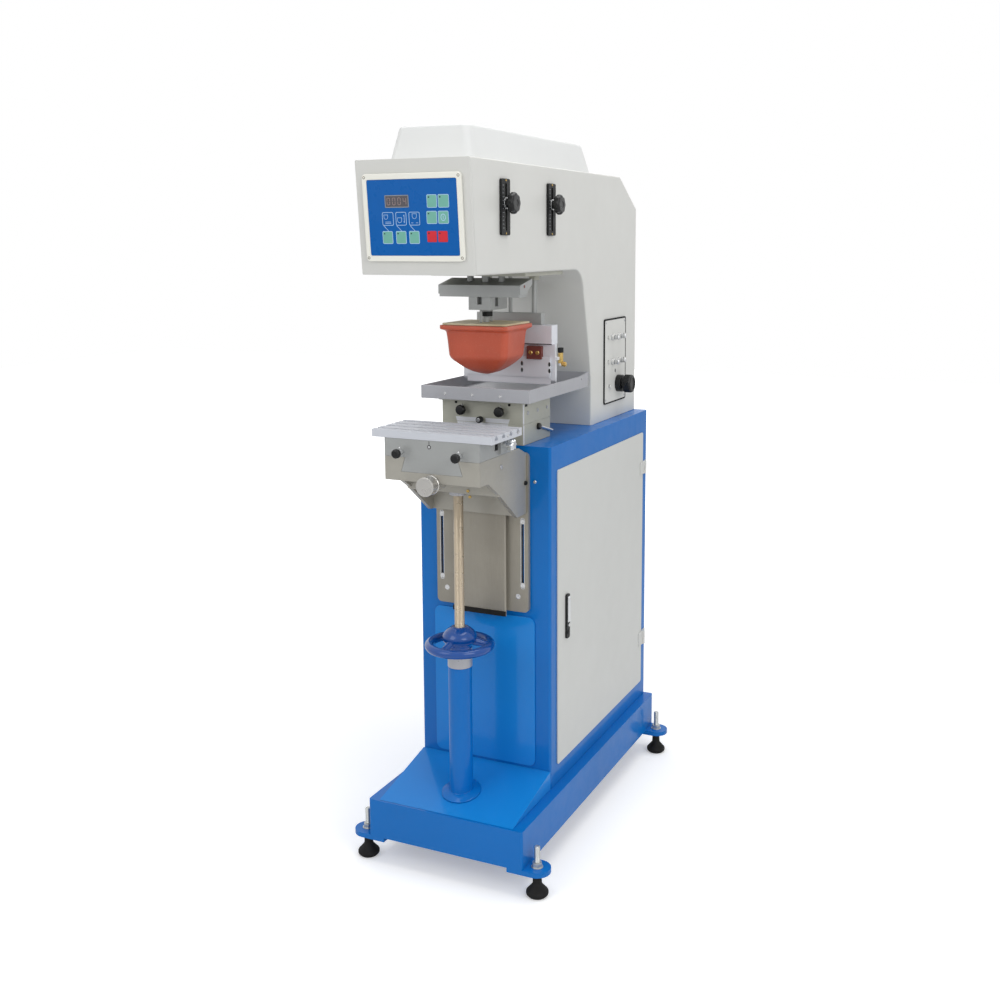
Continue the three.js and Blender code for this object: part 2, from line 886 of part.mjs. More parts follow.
// Sloped cover on the base, in front of the cabinet
function slopeCover() {
  const wedge = extrude('x', polygon([
    [slopeFront, slopeBottom],
    [cabinetFront - seatGap, slopeBottom],
    [cabinetFront - seatGap, slopeZ(cabinetFront - seatGap)],
  ]), [-cabinetHalfWidth, cabinetHalfWidth]);
  const reach = [slopeBottom - overrun, slopeBottom + slopeRise + overrun];
  return cut(wedge, rod('z', tubeRadius + runGap, reach, [0, screwAxisY]));
}

piece('slope_cover', slopeCover(), coverBlue);

// Cabinet shell with a door opening on the right and air slots at the back
const cabinetBottom = baseTop + seatGap;

function cabinetShell() {
  const outline = roundedRect(
    [-cabinetHalfWidth, cabinetHalfWidth], [cabinetFront, baseDepth], cabinetCorner,
  );
  const inner = cabinetHalfWidth - cabinetWall;
  const hollow = box(
    [-inner, inner],
    [cabinetFront + cabinetWall, baseDepth - cabinetWall],
    [cabinetBottom + cabinetWall, cabinetTop - cabinetWall],
  );
  const doorway = box(
    [inner - overrun, cabinetHalfWidth + overrun],
    [doorFront + doorLap, doorBack - doorLap],
    [doorBottom + doorLap, doorTop - doorLap],
  );
  const vents = [];
  for (let i = 0; i < ventCount; i += 1) {
    const bottom = ventBottom + i * ventPitch;
    vents.push(box(
      [-ventWidth / 2, ventWidth / 2],
      [baseDepth - cabinetWall - overrun, baseDepth + overrun],
      [bottom, bottom + ventHeight],
    ));
  }
  const inletHalf = inletFlangeHalfWidth - inletPocketInset + runGap;
  const inletFrom = inletBottom + inletPocketInset - runGap;
  const inletTo = inletBottom + inletFlangeHeight - inletPocketInset + runGap;
  const inletCut = box(
    [-inletHalf, inletHalf],
    [baseDepth - cabinetWall - overrun, baseDepth + overrun],
    [inletFrom, inletTo],
  );
  return cut(extrude('z', outline, [cabinetBottom, cabinetTop]), hollow, doorway, inletCut, ...vents);
}

piece('cabinet_shell', cabinetShell(), blueEnamel);

function frontCover() {
  const outline = roundedRect(
    [-frontCoverHalfWidth, frontCoverHalfWidth], [frontCoverBottom, frontCoverTop], frontCoverCorner,
  );
  const back = cabinetFront - seatGap;
  return extrude('y', outline, [back - frontCoverThickness, back]);
}

piece('front_cover', frontCover(), coverBlue);

// Door: a folded sheet with a rim that reaches into the doorway, on two lift-off hinges
const hingeSpans = [
  [lowerHingeBottom, lowerHingeBottom + lowerHingeHeight],
  [upperHingeBottom, upperHingeBottom + upperHingeHeight],
];

function doorPanel() {
  const skin = extrude('x', roundedRect([doorFront, doorBack], [doorBottom, doorTop], doorCorner),
    [doorX, doorX + doorSkin]);
  const rimInset = doorLap + 2 * runGap;
  const rimFrom = [doorFront + rimInset, doorBack - rimInset];
  const rimUp = [doorBottom + rimInset, doorTop - rimInset];
  const rim = cut(
    box([doorX - doorRim, doorX + doorSkin / 2], rimFrom, rimUp),
    box(
      [doorX - doorRim - overrun, doorX],
      [rimFrom[0] + doorRimWall, rimFrom[1] - doorRimWall],
      [rimUp[0] + doorRimWall, rimUp[1] - doorRimWall],
    ),
  );
  const leaves = hingeSpans.map(([bottom, top]) => {
    const middle = (bottom + top) / 2;
    const reach = [doorX + doorSkin - weldDepth, doorX + doorSkin + hingeLeafThickness];
    return join(
      box(reach, [hingeY - hingeLeafWidth, hingeY], [bottom, top]),
      rod('z', hingeKnuckleRadius, [middle + seatGap, top], [hingeX, hingeY], smallFacets),
    );
  });
  const pinHoles = hingeSpans.map(([bottom, top]) => rod(
    'z', hingePinRadius + runGap, [bottom - overrun, top - hingeLeafThickness], [hingeX, hingeY],
    smallFacets,
  ));
  const knuckleRooms = hingeSpans.map(([bottom, top]) => rod(
    'z', hingeKnuckleRadius + runGap, [bottom - overrun, (bottom + top) / 2 + seatGap], [hingeX, hingeY],
    smallFacets,
  ));
  const keyway = box(
    [doorX - overrun, doorX + doorSkin + overrun],
    [lockCentre - lockButtonRadius - runGap, lockCentre + lockButtonRadius + runGap],
    [keyHeight - keyRadius, leverTop - leverLength / 2],
  );
  return cut(join(skin, rim, ...leaves), ...pinHoles, ...knuckleRooms, keyway);
}

piece('door_panel', doorPanel(), whiteEnamel);

function hingeLeaf([bottom, top]) {
  const middle = (bottom + top) / 2;
  const pinTop = top - hingeLeafThickness - runGap;
  const leaf = box([doorX, doorX + hingeLeafThickness], [hingeY, hingeY + hingeLeafWidth - doorLap],
    [bottom, top]);
  const knuckle = rod('z', hingeKnuckleRadius, [bottom, middle], [hingeX, hingeY], smallFacets);
  const pin = rod('z', hingePinRadius, [bottom, pinTop], [hingeX, hingeY], smallFacets);
  const room = ring('z', hingeKnuckleRadius + runGap, hingePinRadius, [middle, top + overrun],
    [hingeX, hingeY], smallFacets);
  return cut(join(leaf, knuckle, pin), room);
}

piece('hinge_lower', hingeLeaf(hingeSpans[0]), whiteEnamel);
piece('hinge_upper', hingeLeaf(hingeSpans[1]), whiteEnamel);

// Lock on the door: a housing with a pocket, a lever that swings out and a push button
const lockX = doorX + doorSkin + seatGap;
const leverBottom = leverTop - leverLength;
const leverX = lockX + lockThickness - lockPocketDepth + seatGap;
const leverPinX = leverX + leverThickness / 2;
const leverPinZ = leverTop - leverThickness / 2;

function lockBody() {
  const halfWidth = lockWidth / 2;
  const body = extrude('x', roundedRect(
    [lockCentre - halfWidth, lockCentre + halfWidth], [lockBottom, lockTop], halfWidth / 2,
  ), [lockX, lockX + lockThickness]);
  const pocket = box(
    [lockX + lockThickness - lockPocketDepth, lockX + lockThickness + overrun],
    [lockCentre - leverWidth / 2 - runGap, lockCentre + leverWidth / 2 + runGap],
    [leverBottom - runGap, leverTop + runGap],
  );
  const buttonHole = rod('x', lockButtonRadius + runGap,
    [lockX - overrun, lockX + lockThickness + overrun], [lockCentre, lockButtonHeight], smallFacets);
  const key = rod('x', keyRadius, [lockX, lockX + lockThickness + keyReach], [lockCentre, keyHeight],
    smallFacets);
  const keySlot = box(
    [lockX + lockThickness, lockX + lockThickness + keyReach + overrun],
    [lockCentre - keySlotHalf, lockCentre + keySlotHalf],
    [keyHeight - keyRadius / 2, keyHeight + keyRadius / 2],
  );
  const pin = rod('y', leverPinRadius, [lockCentre - leverPinHalf, lockCentre + leverPinHalf],
    [leverPinX, leverPinZ], smallFacets);
  return cut(join(cut(body, pocket, buttonHole), key, pin), keySlot);
}

piece('lock_body', lockBody(), blackPlastic);

function lockLever() {
  const half = leverThickness / 2;
  const outline = new THREE.Shape();
  outline.moveTo(-half, 0);
  outline.lineTo(-half, -leverLength + leverThickness);
  outline.lineTo(leverHeel, -leverLength + half);
  outline.lineTo(half, -leverLength + half);
  outline.lineTo(half, 0);
  outline.absarc(0, 0, half, 0, 2 * quarterTurn);
  const lever = extrude('y', outline, [-leverWidth / 2, leverWidth / 2]);
  const hole = rod('y', leverPinRadius + runGap, [-leverWidth, leverWidth], [0, 0], smallFacets);
  return cut(lever, hole);
}

piece('lock_lever', lockLever(), chrome, groupAt(leverPinX, lockCentre, leverPinZ));
piece('lock_button', rod('x', lockButtonRadius,
  [lockX + lockThickness - lockButtonReach, lockX + lockThickness + lockButtonTravel],
  [lockCentre, lockButtonHeight], smallFacets), groundSteel);

// Head and column: one folded housing, open below the arm and at its foot
function housingShape(inset) {
  const shape = new THREE.Shape();
  const foot = cabinetTop - overrun;
  const arc = throatRadius + inset;
  shape.moveTo(headBack - inset, foot);
  shape.lineTo(headBack - inset, chamferBottom - inset / 2);
  shape.lineTo(chamferStart - inset / 2, headTop - inset);
  shape.lineTo(headFrontTop + inset, headTop - inset);
  shape.lineTo(headFrontBottom + inset, headBottom + inset);
  shape.lineTo(throatArcCentre, headBottom + inset);
  shape.absarc(throatArcCentre, headBottom - throatRadius, arc, quarterTurn, 0, true);
  shape.quadraticCurveTo(
    throatLeanTop + inset + (columnFront - throatLeanTop) * throatLeanShare,
    headBottom - throatRadius - throatLeanDrop,
    columnFront + inset,
    headBottom - throatRadius - throatLeanLength,
  );
  shape.lineTo(columnFront + inset, foot);
  return shape;
}

function headHousing() {
  const outside = extrude('x', housingShape(0), [-headHalfWidth + headEdge, headHalfWidth - headEdge], {
    bevelEnabled: true,
    bevelThickness: headEdge,
    bevelSize: headEdge,
    bevelOffset: -headEdge,
    bevelSegments: housingBevelSteps,
    curveSegments: housingFacets,
  });
  const innerHalf = headHalfWidth - headWall;
  const inside = extrude('x', housingShape(headWall), [-innerHalf, innerHalf],
    { curveSegments: housingFacets });
  const mouth = box(
    [-mouthHalfWidth, mouthHalfWidth],
    [mouthFront, mouthBack],
    [headBottom - overrun, headBottom + 2 * overrun],
  );
  const foot = box(
    [-headHalfWidth - overrun, headHalfWidth + overrun],
    [columnFront - overrun, headBack + overrun],
    [cabinetTop - 3 * overrun, cabinetTop + seatGap],
  );
  return cut(outside, inside, mouth, foot);
}

piece('head_housing', headHousing(), whiteEnamel);

// Top cover: a tapered lid with rounded edges, open below
function topCover() {
  const floor = headTop + seatGap;
  const level = (height, inset, reach) => {
    const share = height / coverHeight;
    const half = coverHalfWidth - coverTaper * share - inset - reach;
    const front = coverFront + coverTaper * share + inset + reach;
    const back = coverBack - coverBackTaper * share - inset - reach;
    return outlineAt(floor + height, [-half, half], [front, back], coverCorner);
  };
  const outside = loft([
    level(0, 0, 0),
    level(coverHeight - coverEdge, 0, 0),
    level(coverHeight - coverBevelDrop, 0, coverBevelReach),
    level(coverHeight, 0, coverEdge),
  ]);
  const inside = loft([
    level(-overrun, coverWall, 0),
    level(coverHeight - coverEdge, coverWall, 0),
    level(coverHeight - coverWall, coverWall, coverEdge / 2),
  ]);
  return cut(outside, inside);
}

piece('top_cover', topCover(), whiteEnamel);

// Control bezel and key panel, in a frame tilted with the head's front
const control = groupAt(0, headFrontBottom, headBottom);
control.rotation.x = tiltAngle;

function controlBezel() {
  const back = -seatGap;
  const front = back - bezelThickness;
  const span = [bezelBottom, bezelBottom + bezelHeight];
  const frame = extrude('y', roundedRect([-bezelHalfWidth, bezelHalfWidth], span, bezelCorner),
    [front, back]);
  const recess = extrude('y', roundedRect(
    [-keyPanelHalfWidth, keyPanelHalfWidth],
    [span[0] + keyPanelMargin, span[1] - keyPanelMargin],
    keyPanelCorner,
  ), [front - overrun, front + keyPanelRecess]);
  return cut(frame, recess);
}

function membranePanel() {
  const front = -seatGap - bezelThickness + keyPanelRecess - seatGap - keyPanelThickness;
  return extrude('y', roundedRect(
    [-keyPanelHalfWidth + seatGap, keyPanelHalfWidth - seatGap],
    [bezelBottom + keyPanelMargin + seatGap, bezelBottom + bezelHeight - keyPanelMargin - seatGap],
    keyPanelCorner,
  ), [front, front + keyPanelThickness]);
}

piece('control_bezel', controlBezel(), whiteEnamel, control);
piece('membrane_panel', membranePanel(), membraneBlue, control);

// Scale plates on the right side of the head, each with a stroke knob in its slot
const slotSpan = [
  scalePlateBottom + scaleSlotMargin,
  scalePlateBottom + scalePlateHeight - scaleSlotMargin,
];

function scalePlate(centre) {
  const half = scalePlateWidth / 2;
  const plate = extrude('x', roundedRect(
    [centre - half, centre + half],
    [scalePlateBottom, scalePlateBottom + scalePlateHeight],
    scalePlateCorner,
  ), [sideX, scaleFace]);
  const slot = box(
    [sideX - overrun, scaleFace + overrun],
    [centre - scaleSlotWidth / 2, centre + scaleSlotWidth / 2],
    slotSpan,
  );
  const channel = box(
    [sideX - overrun, scaleFace - scalePlateLip],
    [centre - scaleNutWidth / 2 - runGap, centre + scaleNutWidth / 2 + runGap],
    [slotSpan[0] - scaleSlotMargin / 2, slotSpan[1] + scaleSlotMargin / 2],
  );
  return cut(plate, slot, channel);
}

piece('scale_plate_front', scalePlate(frontScaleCentre), blackPlastic);
piece('scale_plate_back', scalePlate(backScaleCentre), blackPlastic);

function strokeKnob() {
  const washerEnd = seatGap + strokeWasherThickness;
  const hubEnd = washerEnd + strokeHubLength;
  const nutFace = -scalePlateLip - seatGap;
  return join(
    extrude('x', lobedShape(strokeKnobRadius, strokeKnobLobe, strokeKnobLobes),
      [hubEnd, hubEnd + strokeKnobLength]),
    rod('x', strokeWasherRadius, [seatGap, washerEnd], [0, 0]),
    rod('x', strokeHubRadius, [washerEnd - weldDepth, hubEnd + weldDepth], [0, 0]),
    rod('x', strokeStudRadius, [nutFace - weldDepth, seatGap + weldDepth], [0, 0], smallFacets),
    box([nutFace - strokeNutDepth, nutFace], [-scaleNutWidth / 2, scaleNutWidth / 2],
      [-scaleNutWidth / 2, scaleNutWidth / 2]),
  );
}

piece('stroke_knob_front', strokeKnob(), blackPlastic,
  groupAt(scaleFace, frontScaleCentre, frontKnobHeight));
piece('stroke_knob_back', strokeKnob(), blackPlastic,
  groupAt(scaleFace, backScaleCentre, backKnobHeight));

// Pneumatic panel: flow valves in two rows, small ports and the regulator's collar
const valvePlaces = valveRowHeights.flatMap((height) => [
  [airPanelFront + valveInset, height],
  [airPanelBack - valveInset, height],
]);

function pneumaticPanel() {
  const plate = extrude('x', roundedRect(
    [airPanelFront, airPanelBack], [airPanelBottom, airPanelTop], airPanelCorner,
  ), [sideX, airPanelFace]);
  const inPlate = airPanelFace - weldDepth;
  const valves = valvePlaces.map((place) => rod(
    'x', valveBodyRadius, [inPlate, airPanelFace + valveBodyReach], place, smallFacets,
  ));
  const stemRooms = valvePlaces.map((place) => rod(
    'x', valveStemRadius + runGap,
    [airPanelFace + valveBodyReach - valveStemDepth - runGap, airPanelFace + valveBodyReach + overrun],
    place, smallFacets,
  ));
  const ports = valveRowHeights.flatMap((height) => [
    [airPanelFront + ventPlugInset, height],
    [airPanelBack - backPlugInset, height],
  ]).concat([[airPanelFront + testPortInset, testPortHeight]]).map((place) => rod(
    'x', ventPlugRadius, [inPlate, airPanelFace + ventPlugReach], place, smallFacets,
  ));
  const place = [regulatorCentre, regulatorHeight];
  const collarEnd = airPanelFace + regulatorCollarReach;
  const neckEnd = collarEnd + regulatorNeckReach;
  const regulator = join(
    rod('x', regulatorCollarRadius, [inPlate, collarEnd], place),
    rod('x', regulatorNeckRadius, [collarEnd - weldDepth, neckEnd], place),
  );
  const stemRoom = rod('x', regulatorStemRadius + runGap,
    [neckEnd - regulatorStemDepth - runGap, neckEnd + overrun], place, smallFacets);
  return cut(join(plate, ...valves, ...ports, regulator), ...stemRooms, stemRoom);
}

piece('pneumatic_panel', pneumaticPanel(), whiteEnamel);

function flowKnob() {
  return join(
    rod('x', valveKnobRadius, [seatGap, valveKnobReach], [0, 0], smallFacets),
    rod('x', valveStemRadius, [-valveStemDepth, seatGap + weldDepth], [0, 0], smallFacets),
  );
}

valvePlaces.forEach(([y, z], i) => {
  piece(`flow_knob_${i + 1}`, flowKnob(), brass, groupAt(airPanelFace + valveBodyReach, y, z));
});

function regulatorKnob() {
  const rim = regulatorKnobRadius;
  const edge = regulatorKnobEdge;
  return join(
    turned('x', [
      [0, seatGap],
      [rim - edge, seatGap],
      [rim, seatGap + edge],
      [rim, regulatorKnobLength - edge],
      [rim - edge, regulatorKnobLength],
      [regulatorFaceRadius, regulatorKnobLength],
      [regulatorFaceRadius, regulatorKnobLength - edge],
      [0, regulatorKnobLength - edge],
    ], [0, 0, 0]),
    rod('x', regulatorStemRadius, [-regulatorStemDepth, edge], [0, 0], smallFacets),
  );
}

piece('regulator_knob', regulatorKnob(), blackPlastic, groupAt(
  airPanelFace + regulatorCollarReach + regulatorNeckReach, regulatorCentre, regulatorHeight,
));

// Guide plate on the cabinet front with the male dovetail that the knee runs on
function guidePlate() {
  const plate = extrude('y', roundedRect(
    [-guideHalfWidth, guideHalfWidth], [guideBottom, guideTop], guideCorner,
  ), [guideFaceY, guideBackY]);
  const neck = railHalfWidth - railUndercut;
  const rail = extrude('z', polygon([
    [-neck, guideFaceY + weldDepth],
    [-neck, guideFaceY],
    [-railHalfWidth, railFaceY + railChamfer],
    [-railHalfWidth + railChamfer, railFaceY],
    [railHalfWidth - railChamfer, railFaceY],
    [railHalfWidth, railFaceY + railChamfer],
    [neck, guideFaceY],
    [neck, guideFaceY + weldDepth],
  ]), [railBottom, guideTop]);
  const depth = [guideFaceY - overrun, guideBackY + overrun];
  const openings = [-1, 1].flatMap((side) => {
    const slotX = side * (guideHalfWidth - guideSlotInset);
    const holeX = side * (guideHalfWidth - guideHoleInset);
    return [
      extrude('y', roundedRect(
        [slotX - guideSlotWidth / 2, slotX + guideSlotWidth / 2],
        [guideSlotBottom, guideSlotBottom + guideSlotHeight],
        guideSlotWidth / 2 - mergeDistance,
      ), depth),
      rod('y', guideHoleRadius, depth, [holeX, guideHoleHeight], smallFacets),
    ];
  });
  return cut(join(plate, rail), ...openings);
}

piece('guide_plate', guidePlate(), machinedSteel);

// Knee: deck with the cross slide's groove, side gussets, back with the female dovetail
const knee = groupAt(0, 0, 0);

function kneeBracket() {
  const half = kneeHalfWidth;
  const topHalf = slideDovetailHalf - slideDovetailLean + runGap;
  const bottomHalf = slideDovetailHalf + runGap;
  const deck = extrude('y', polygon([
    [-half, kneeBottom],
    [half, kneeBottom],
    [half, cheekTop],
    [topHalf, cheekTop],
    [bottomHalf, deckTop],
    [-bottomHalf, deckTop],
    [-topHalf, cheekTop],
    [-half, cheekTop],
  ]), [kneeFront, deckBack]);
  const backFace = guideFaceY - seatGap;
  const gussetOutline = polygon([
    [kneeFront, kneeBottom + weldDepth],
    [kneeFront, kneeBottom],
    [kneeFront + gussetNose, kneeBottom],
    [gussetKnuckleY, gussetKnuckleZ],
    [gussetFootY, gussetFootZ],
    [backFace, gussetFootZ],
    [backFace, guideTop],
    [deckBack, cheekTop],
    [kneeFront, cheekTop],
  ]);
  const gussets = [-1, 1].map((side) => extrude('x', gussetOutline, side > 0
    ? [half - gussetThickness, half] : [-half, -half + gussetThickness]));
  const back = box([-half, half], [deckBack - weldDepth, backFace], [gussetFootZ, guideTop]);
  const grooveNeck = railHalfWidth - railUndercut + kneeRunGap;
  const grooveWide = railHalfWidth + kneeRunGap;
  const groove = extrude('z', polygon([
    [-grooveNeck, guideFaceY + overrun],
    [-grooveNeck, guideFaceY],
    [-grooveWide, railFaceY + railChamfer],
    [-grooveWide, railFaceY - kneeRunGap],
    [grooveWide, railFaceY - kneeRunGap],
    [grooveWide, railFaceY + railChamfer],
    [grooveNeck, guideFaceY],
    [grooveNeck, guideFaceY + overrun],
  ]), [gussetFootZ - overrun, guideTop + overrun]);
  const bridge = box([-half + weldDepth, half - weldDepth], [bridgeFront, bridgeBack],
    [bridgeBottom, bridgeBottom + bridgeHeight]);
  const boss = rod('y', bossRadius, [kneeFront, bossBack], [0, turnedKnobHeight]);
  const screwBore = rod('y', crossScrewRadius + runGap, [kneeFront - overrun, deckBack - overrun],
    [0, turnedKnobHeight], smallFacets);
  const journalBore = rod('z', screwJournalRadius + runGap,
    [bridgeBottom - overrun, bridgeBottom + bridgeHeight + overrun], [0, screwAxisY]);
  const lugSlot = box([-slotHalfWidth, slotHalfWidth], [slotFront, slotBack],
    [kneeBottom - overrun, deckTop + overrun]);
  return cut(join(deck, ...gussets, back, bridge, boss), groove, screwBore, journalBore, lugSlot);
}

piece('knee_bracket', kneeBracket(), machinedSteel, knee);

function leadScrew() {
  const shoulder = bridgeBottom - seatGap;
  return turned('z', [
    [0, leadScrewBottom],
    [leadScrewRadius, leadScrewBottom],
    [leadScrewRadius, shoulder - screwCollarHeight],
    [screwCollarRadius, shoulder - screwCollarHeight],
    [screwCollarRadius, shoulder],
    [screwJournalRadius, shoulder],
    [screwJournalRadius, bridgeBottom + bridgeHeight],
    [0, bridgeBottom + bridgeHeight],
  ], [0, screwAxisY, 0]);
}

piece('lead_screw', leadScrew(), groundSteel, knee);

// Screw tube that stands on the base, with a weld ring on the sloped cover
function screwTube() {
  const bore = tubeRadius - tubeWall;
  const tube = rod('z', tubeRadius, [slopeBottom, tubeTop], [0, screwAxisY]);
  const seat = slopeZ(screwAxisY) + 2 * seatGap;
  const flange = new THREE.LatheGeometry([
    new THREE.Vector2(0, 0),
    new THREE.Vector2(weldRingRadius, 0),
    new THREE.Vector2(weldRingRadius, weldRingEdge),
    new THREE.Vector2(tubeRadius + weldRingShoulder, weldRingHeight),
    new THREE.Vector2(0, weldRingHeight),
  ], roundFacets);
  flange.rotateX(quarterTurn + slopeAngle);
  flange.translate(0, screwAxisY, seat);
  const inside = rod('z', bore, [slopeBottom + tubeWall, tubeTop + overrun], [0, screwAxisY]);
  return cut(join(tube, solidOf(flange)), inside);
}

piece('screw_tube', screwTube(), coverBlue);
piece('thrust_collar', ring('z', collarRadius, leadScrewRadius + runGap,
  [tubeTop + seatGap, tubeTop + seatGap + collarHeight], [0, screwAxisY]), groundSteel);

// Handwheel: rim, three spokes and a domed hub that holds the screw's nut
const hubBottom = tubeTop + seatGap + collarHeight + seatGap;

function handwheel() {
  const rimLine = wheelRimHeight - hubBottom;
  const rimPoints = [];
  for (let i = 0; i <= rimSteps; i += 1) {
    const angle = fullTurn * i / rimSteps;
    rimPoints.push([
      wheelRadius - wheelRimRadius + wheelRimRadius * Math.cos(angle),
      rimLine + wheelRimRadius * Math.sin(angle),
    ]);
  }
  const rim = turned('z', rimPoints, [0, 0, 0], wheelFacets);
  const hub = turned('z', [
    [0, 0],
    [collarRadius, 0],
    [collarRadius, rimLine],
    [hubRadius, rimLine + hubRise],
    [hubRadius, rimLine + hubRise + hubEdgeHeight],
    [hubShoulderRadius, hubDomeTop - hubBottom - hubShoulderDrop],
    [hubDomeRadius, hubDomeTop - hubBottom],
    [0, hubDomeTop - hubBottom],
  ], [0, 0, 0]);
  const root = hubRadius / 2;
  const tip = wheelRadius - wheelRimRadius;
  const spokes = [];
  for (let i = 0; i < spokeCount; i += 1) {
    const spoke = new THREE.CylinderGeometry(
      spokeRadius, spokeRootRadius, Math.hypot(tip - root, spokeRootRise), smallFacets,
    );
    spoke.rotateZ(-quarterTurn);
    spoke.rotateY(Math.atan2(spokeRootRise, tip - root));
    spoke.translate((root + tip) / 2, 0, rimLine + spokeRootRise / 2);
    spoke.rotateZ(fullTurn * (i / spokeCount + spokeStartShare));
    spokes.push(solidOf(spoke));
  }
  const bore = rod('z', leadScrewRadius + runGap, [-overrun, hubDomeTop - hubBottom + overrun], [0, 0]);
  return cut(join(rim, hub, ...spokes), bore);
}

piece('handwheel', handwheel(), wheelBlue, groupAt(0, screwAxisY, hubBottom));

// Cross slide that runs front to back on the knee
const crossSlide = groupAt(0, 0, 0, knee);

function crossSlideBlock() {
  const half = kneeHalfWidth;
  const dovetailBottom = deckTop + seatGap;
  const plateBottom = cheekTop + seatGap;
  const neck = slideDovetailHalf - slideDovetailLean;
  const block = extrude('y', polygon([
    [-slideDovetailHalf, dovetailBottom],
    [slideDovetailHalf, dovetailBottom],
    [neck, plateBottom],
    [half, plateBottom],
    [half, slideTop],
    [-half, slideTop],
    [-half, plateBottom],
    [-neck, plateBottom],
  ]), [kneeFront, slideBack]);
  const grooveBottom = slideTop - tableRailHeight - runGap;
  const groove = extrude('x', polygon([
    [tableRailCentre - tableRailHalf - runGap, grooveBottom],
    [tableRailCentre + tableRailHalf + runGap, grooveBottom],
    [tableRailCentre + tableRailHalf - tableRailLean + runGap, slideTop],
    [tableRailCentre + tableRailHalf - tableRailLean + runGap, slideTop + overrun],
    [tableRailCentre - tableRailHalf + tableRailLean - runGap, slideTop + overrun],
    [tableRailCentre - tableRailHalf + tableRailLean - runGap, slideTop],
  ]), [-half - overrun, half + overrun]);
  const bracket = box(
    [half - weldDepth, half + bracketThickness],
    [tableRailCentre - bracketHalfDepth, tableRailCentre + bracketHalfDepth],
    [bracketBottom, slideTop - runGap],
  );
  const bracketFoot = box(
    [half - bracketThickness, half + bracketThickness],
    [tableRailCentre - bracketHalfDepth, tableRailCentre + bracketHalfDepth],
    [bracketBottom, grooveBottom],
  );
  const lug = box(
    [-nutLugHalfWidth, nutLugHalfWidth],
    [nutLugCentre - nutLugLength / 2, nutLugCentre + nutLugLength / 2],
    [nutLugBottom, dovetailBottom + weldDepth],
  );
  const lugBore = rod('y', crossScrewRadius + runGap,
    [nutLugCentre - nutLugLength, nutLugCentre + nutLugLength], [0, turnedKnobHeight], smallFacets);
  const screwBore = rod('x', tableScrewRadius + runGap,
    [half - overrun, half + bracketThickness + overrun], [tableRailCentre, starKnobHeight], smallFacets);
  const clampBores = [-1, 1].map((side) => rod('y', clampShaftRadius + runGap,
    [kneeFront - overrun, kneeFront + clampShaftDepth + runGap],
    [side * tableClampOffset, tableClampHeight], smallFacets));
  return cut(join(cut(block, groove), bracket, bracketFoot, lug), lugBore, screwBore, ...clampBores);
}

piece('cross_slide', crossSlideBlock(), machinedSteel, crossSlide);

function turnedKnob() {
  const face = -seatGap;
  const front = face - turnedKnobLength;
  const knob = turned('y', [
    [0, front],
    [turnedKnobRadius - turnedKnobRound, front],
    [turnedKnobRadius, front + turnedKnobRound],
    [turnedKnobRadius, face - turnedKnobRound],
    [turnedKnobRadius - turnedKnobRound, face],
    [0, face],
  ], [0, 0, 0], knobFacets);
  const screw = rod('y', crossScrewRadius, [face - weldDepth, crossScrewEnd - kneeFront], [0, 0],
    smallFacets);
  return join(knob, screw);
}

piece('cross_knob', turnedKnob(), aluminium, groupAt(0, kneeFront, turnedKnobHeight, knee));

// T-slot table on the cross slide, with the star knob that moves it sideways
const table = groupAt(0, 0, 0, crossSlide);

function tSlotTable() {
  const plate = box([-tableHalfWidth, tableHalfWidth], [tableFront, tableFront + tableDepth],
    [tableBottom, tableTop]);
  const slots = [];
  const middle = tableFront + tableDepth / 2;
  for (let i = 0; i < slotCount; i += 1) {
    const centre = middle + (i - (slotCount - 1) / 2) * slotPitch;
    const neckBottom = tableTop - slotNeckDepth;
    const headBottomZ = neckBottom - slotHeadDepth;
    slots.push(extrude('x', polygon([
      [centre - slotHead / 2, headBottomZ],
      [centre + slotHead / 2, headBottomZ],
      [centre + slotHead / 2, neckBottom],
      [centre + slotNeck / 2, neckBottom],
      [centre + slotNeck / 2, tableTop + overrun],
      [centre - slotNeck / 2, tableTop + overrun],
      [centre - slotNeck / 2, neckBottom],
      [centre - slotHead / 2, neckBottom],
    ]), [-tableHalfWidth - overrun, tableHalfWidth + overrun]));
  }
  const railBottomZ = slideTop - tableRailHeight;
  const rail = extrude('x', polygon([
    [tableRailCentre - tableRailHalf, railBottomZ],
    [tableRailCentre + tableRailHalf, railBottomZ],
    [tableRailCentre + tableRailHalf - tableRailLean, slideTop],
    [tableRailCentre + tableRailHalf - tableRailLean, tableBottom + weldDepth],
    [tableRailCentre - tableRailHalf + tableRailLean, tableBottom + weldDepth],
    [tableRailCentre - tableRailHalf + tableRailLean, slideTop],
  ]), [-tableRailHalfLength, tableRailHalfLength]);
  const bore = rod('x', tableScrewRadius + runGap,
    [-tableRailHalfLength - overrun, tableRailHalfLength + overrun], [tableRailCentre, starKnobHeight],
    smallFacets);
  return cut(join(plate, rail), ...slots, bore);
}

piece('t_slot_table', tSlotTable(), aluminium, table);

function starKnob() {
  return join(
    extrude('x', lobedShape(starKnobRadius, starKnobLobe, starKnobLobes),
      [seatGap + starHubLength, seatGap + starHubLength + starKnobLength]),
    rod('x', starHubRadius, [seatGap, seatGap + starHubLength + weldDepth], [0, 0], smallFacets),
    rod('x', tableScrewRadius,
      [tableScrewEnd - kneeHalfWidth - bracketThickness, seatGap + weldDepth], [0, 0], smallFacets),
  );
}

piece('star_knob', starKnob(), chrome, groupAt(
  kneeHalfWidth + bracketThickness, tableRailCentre, starKnobHeight, crossSlide,
));

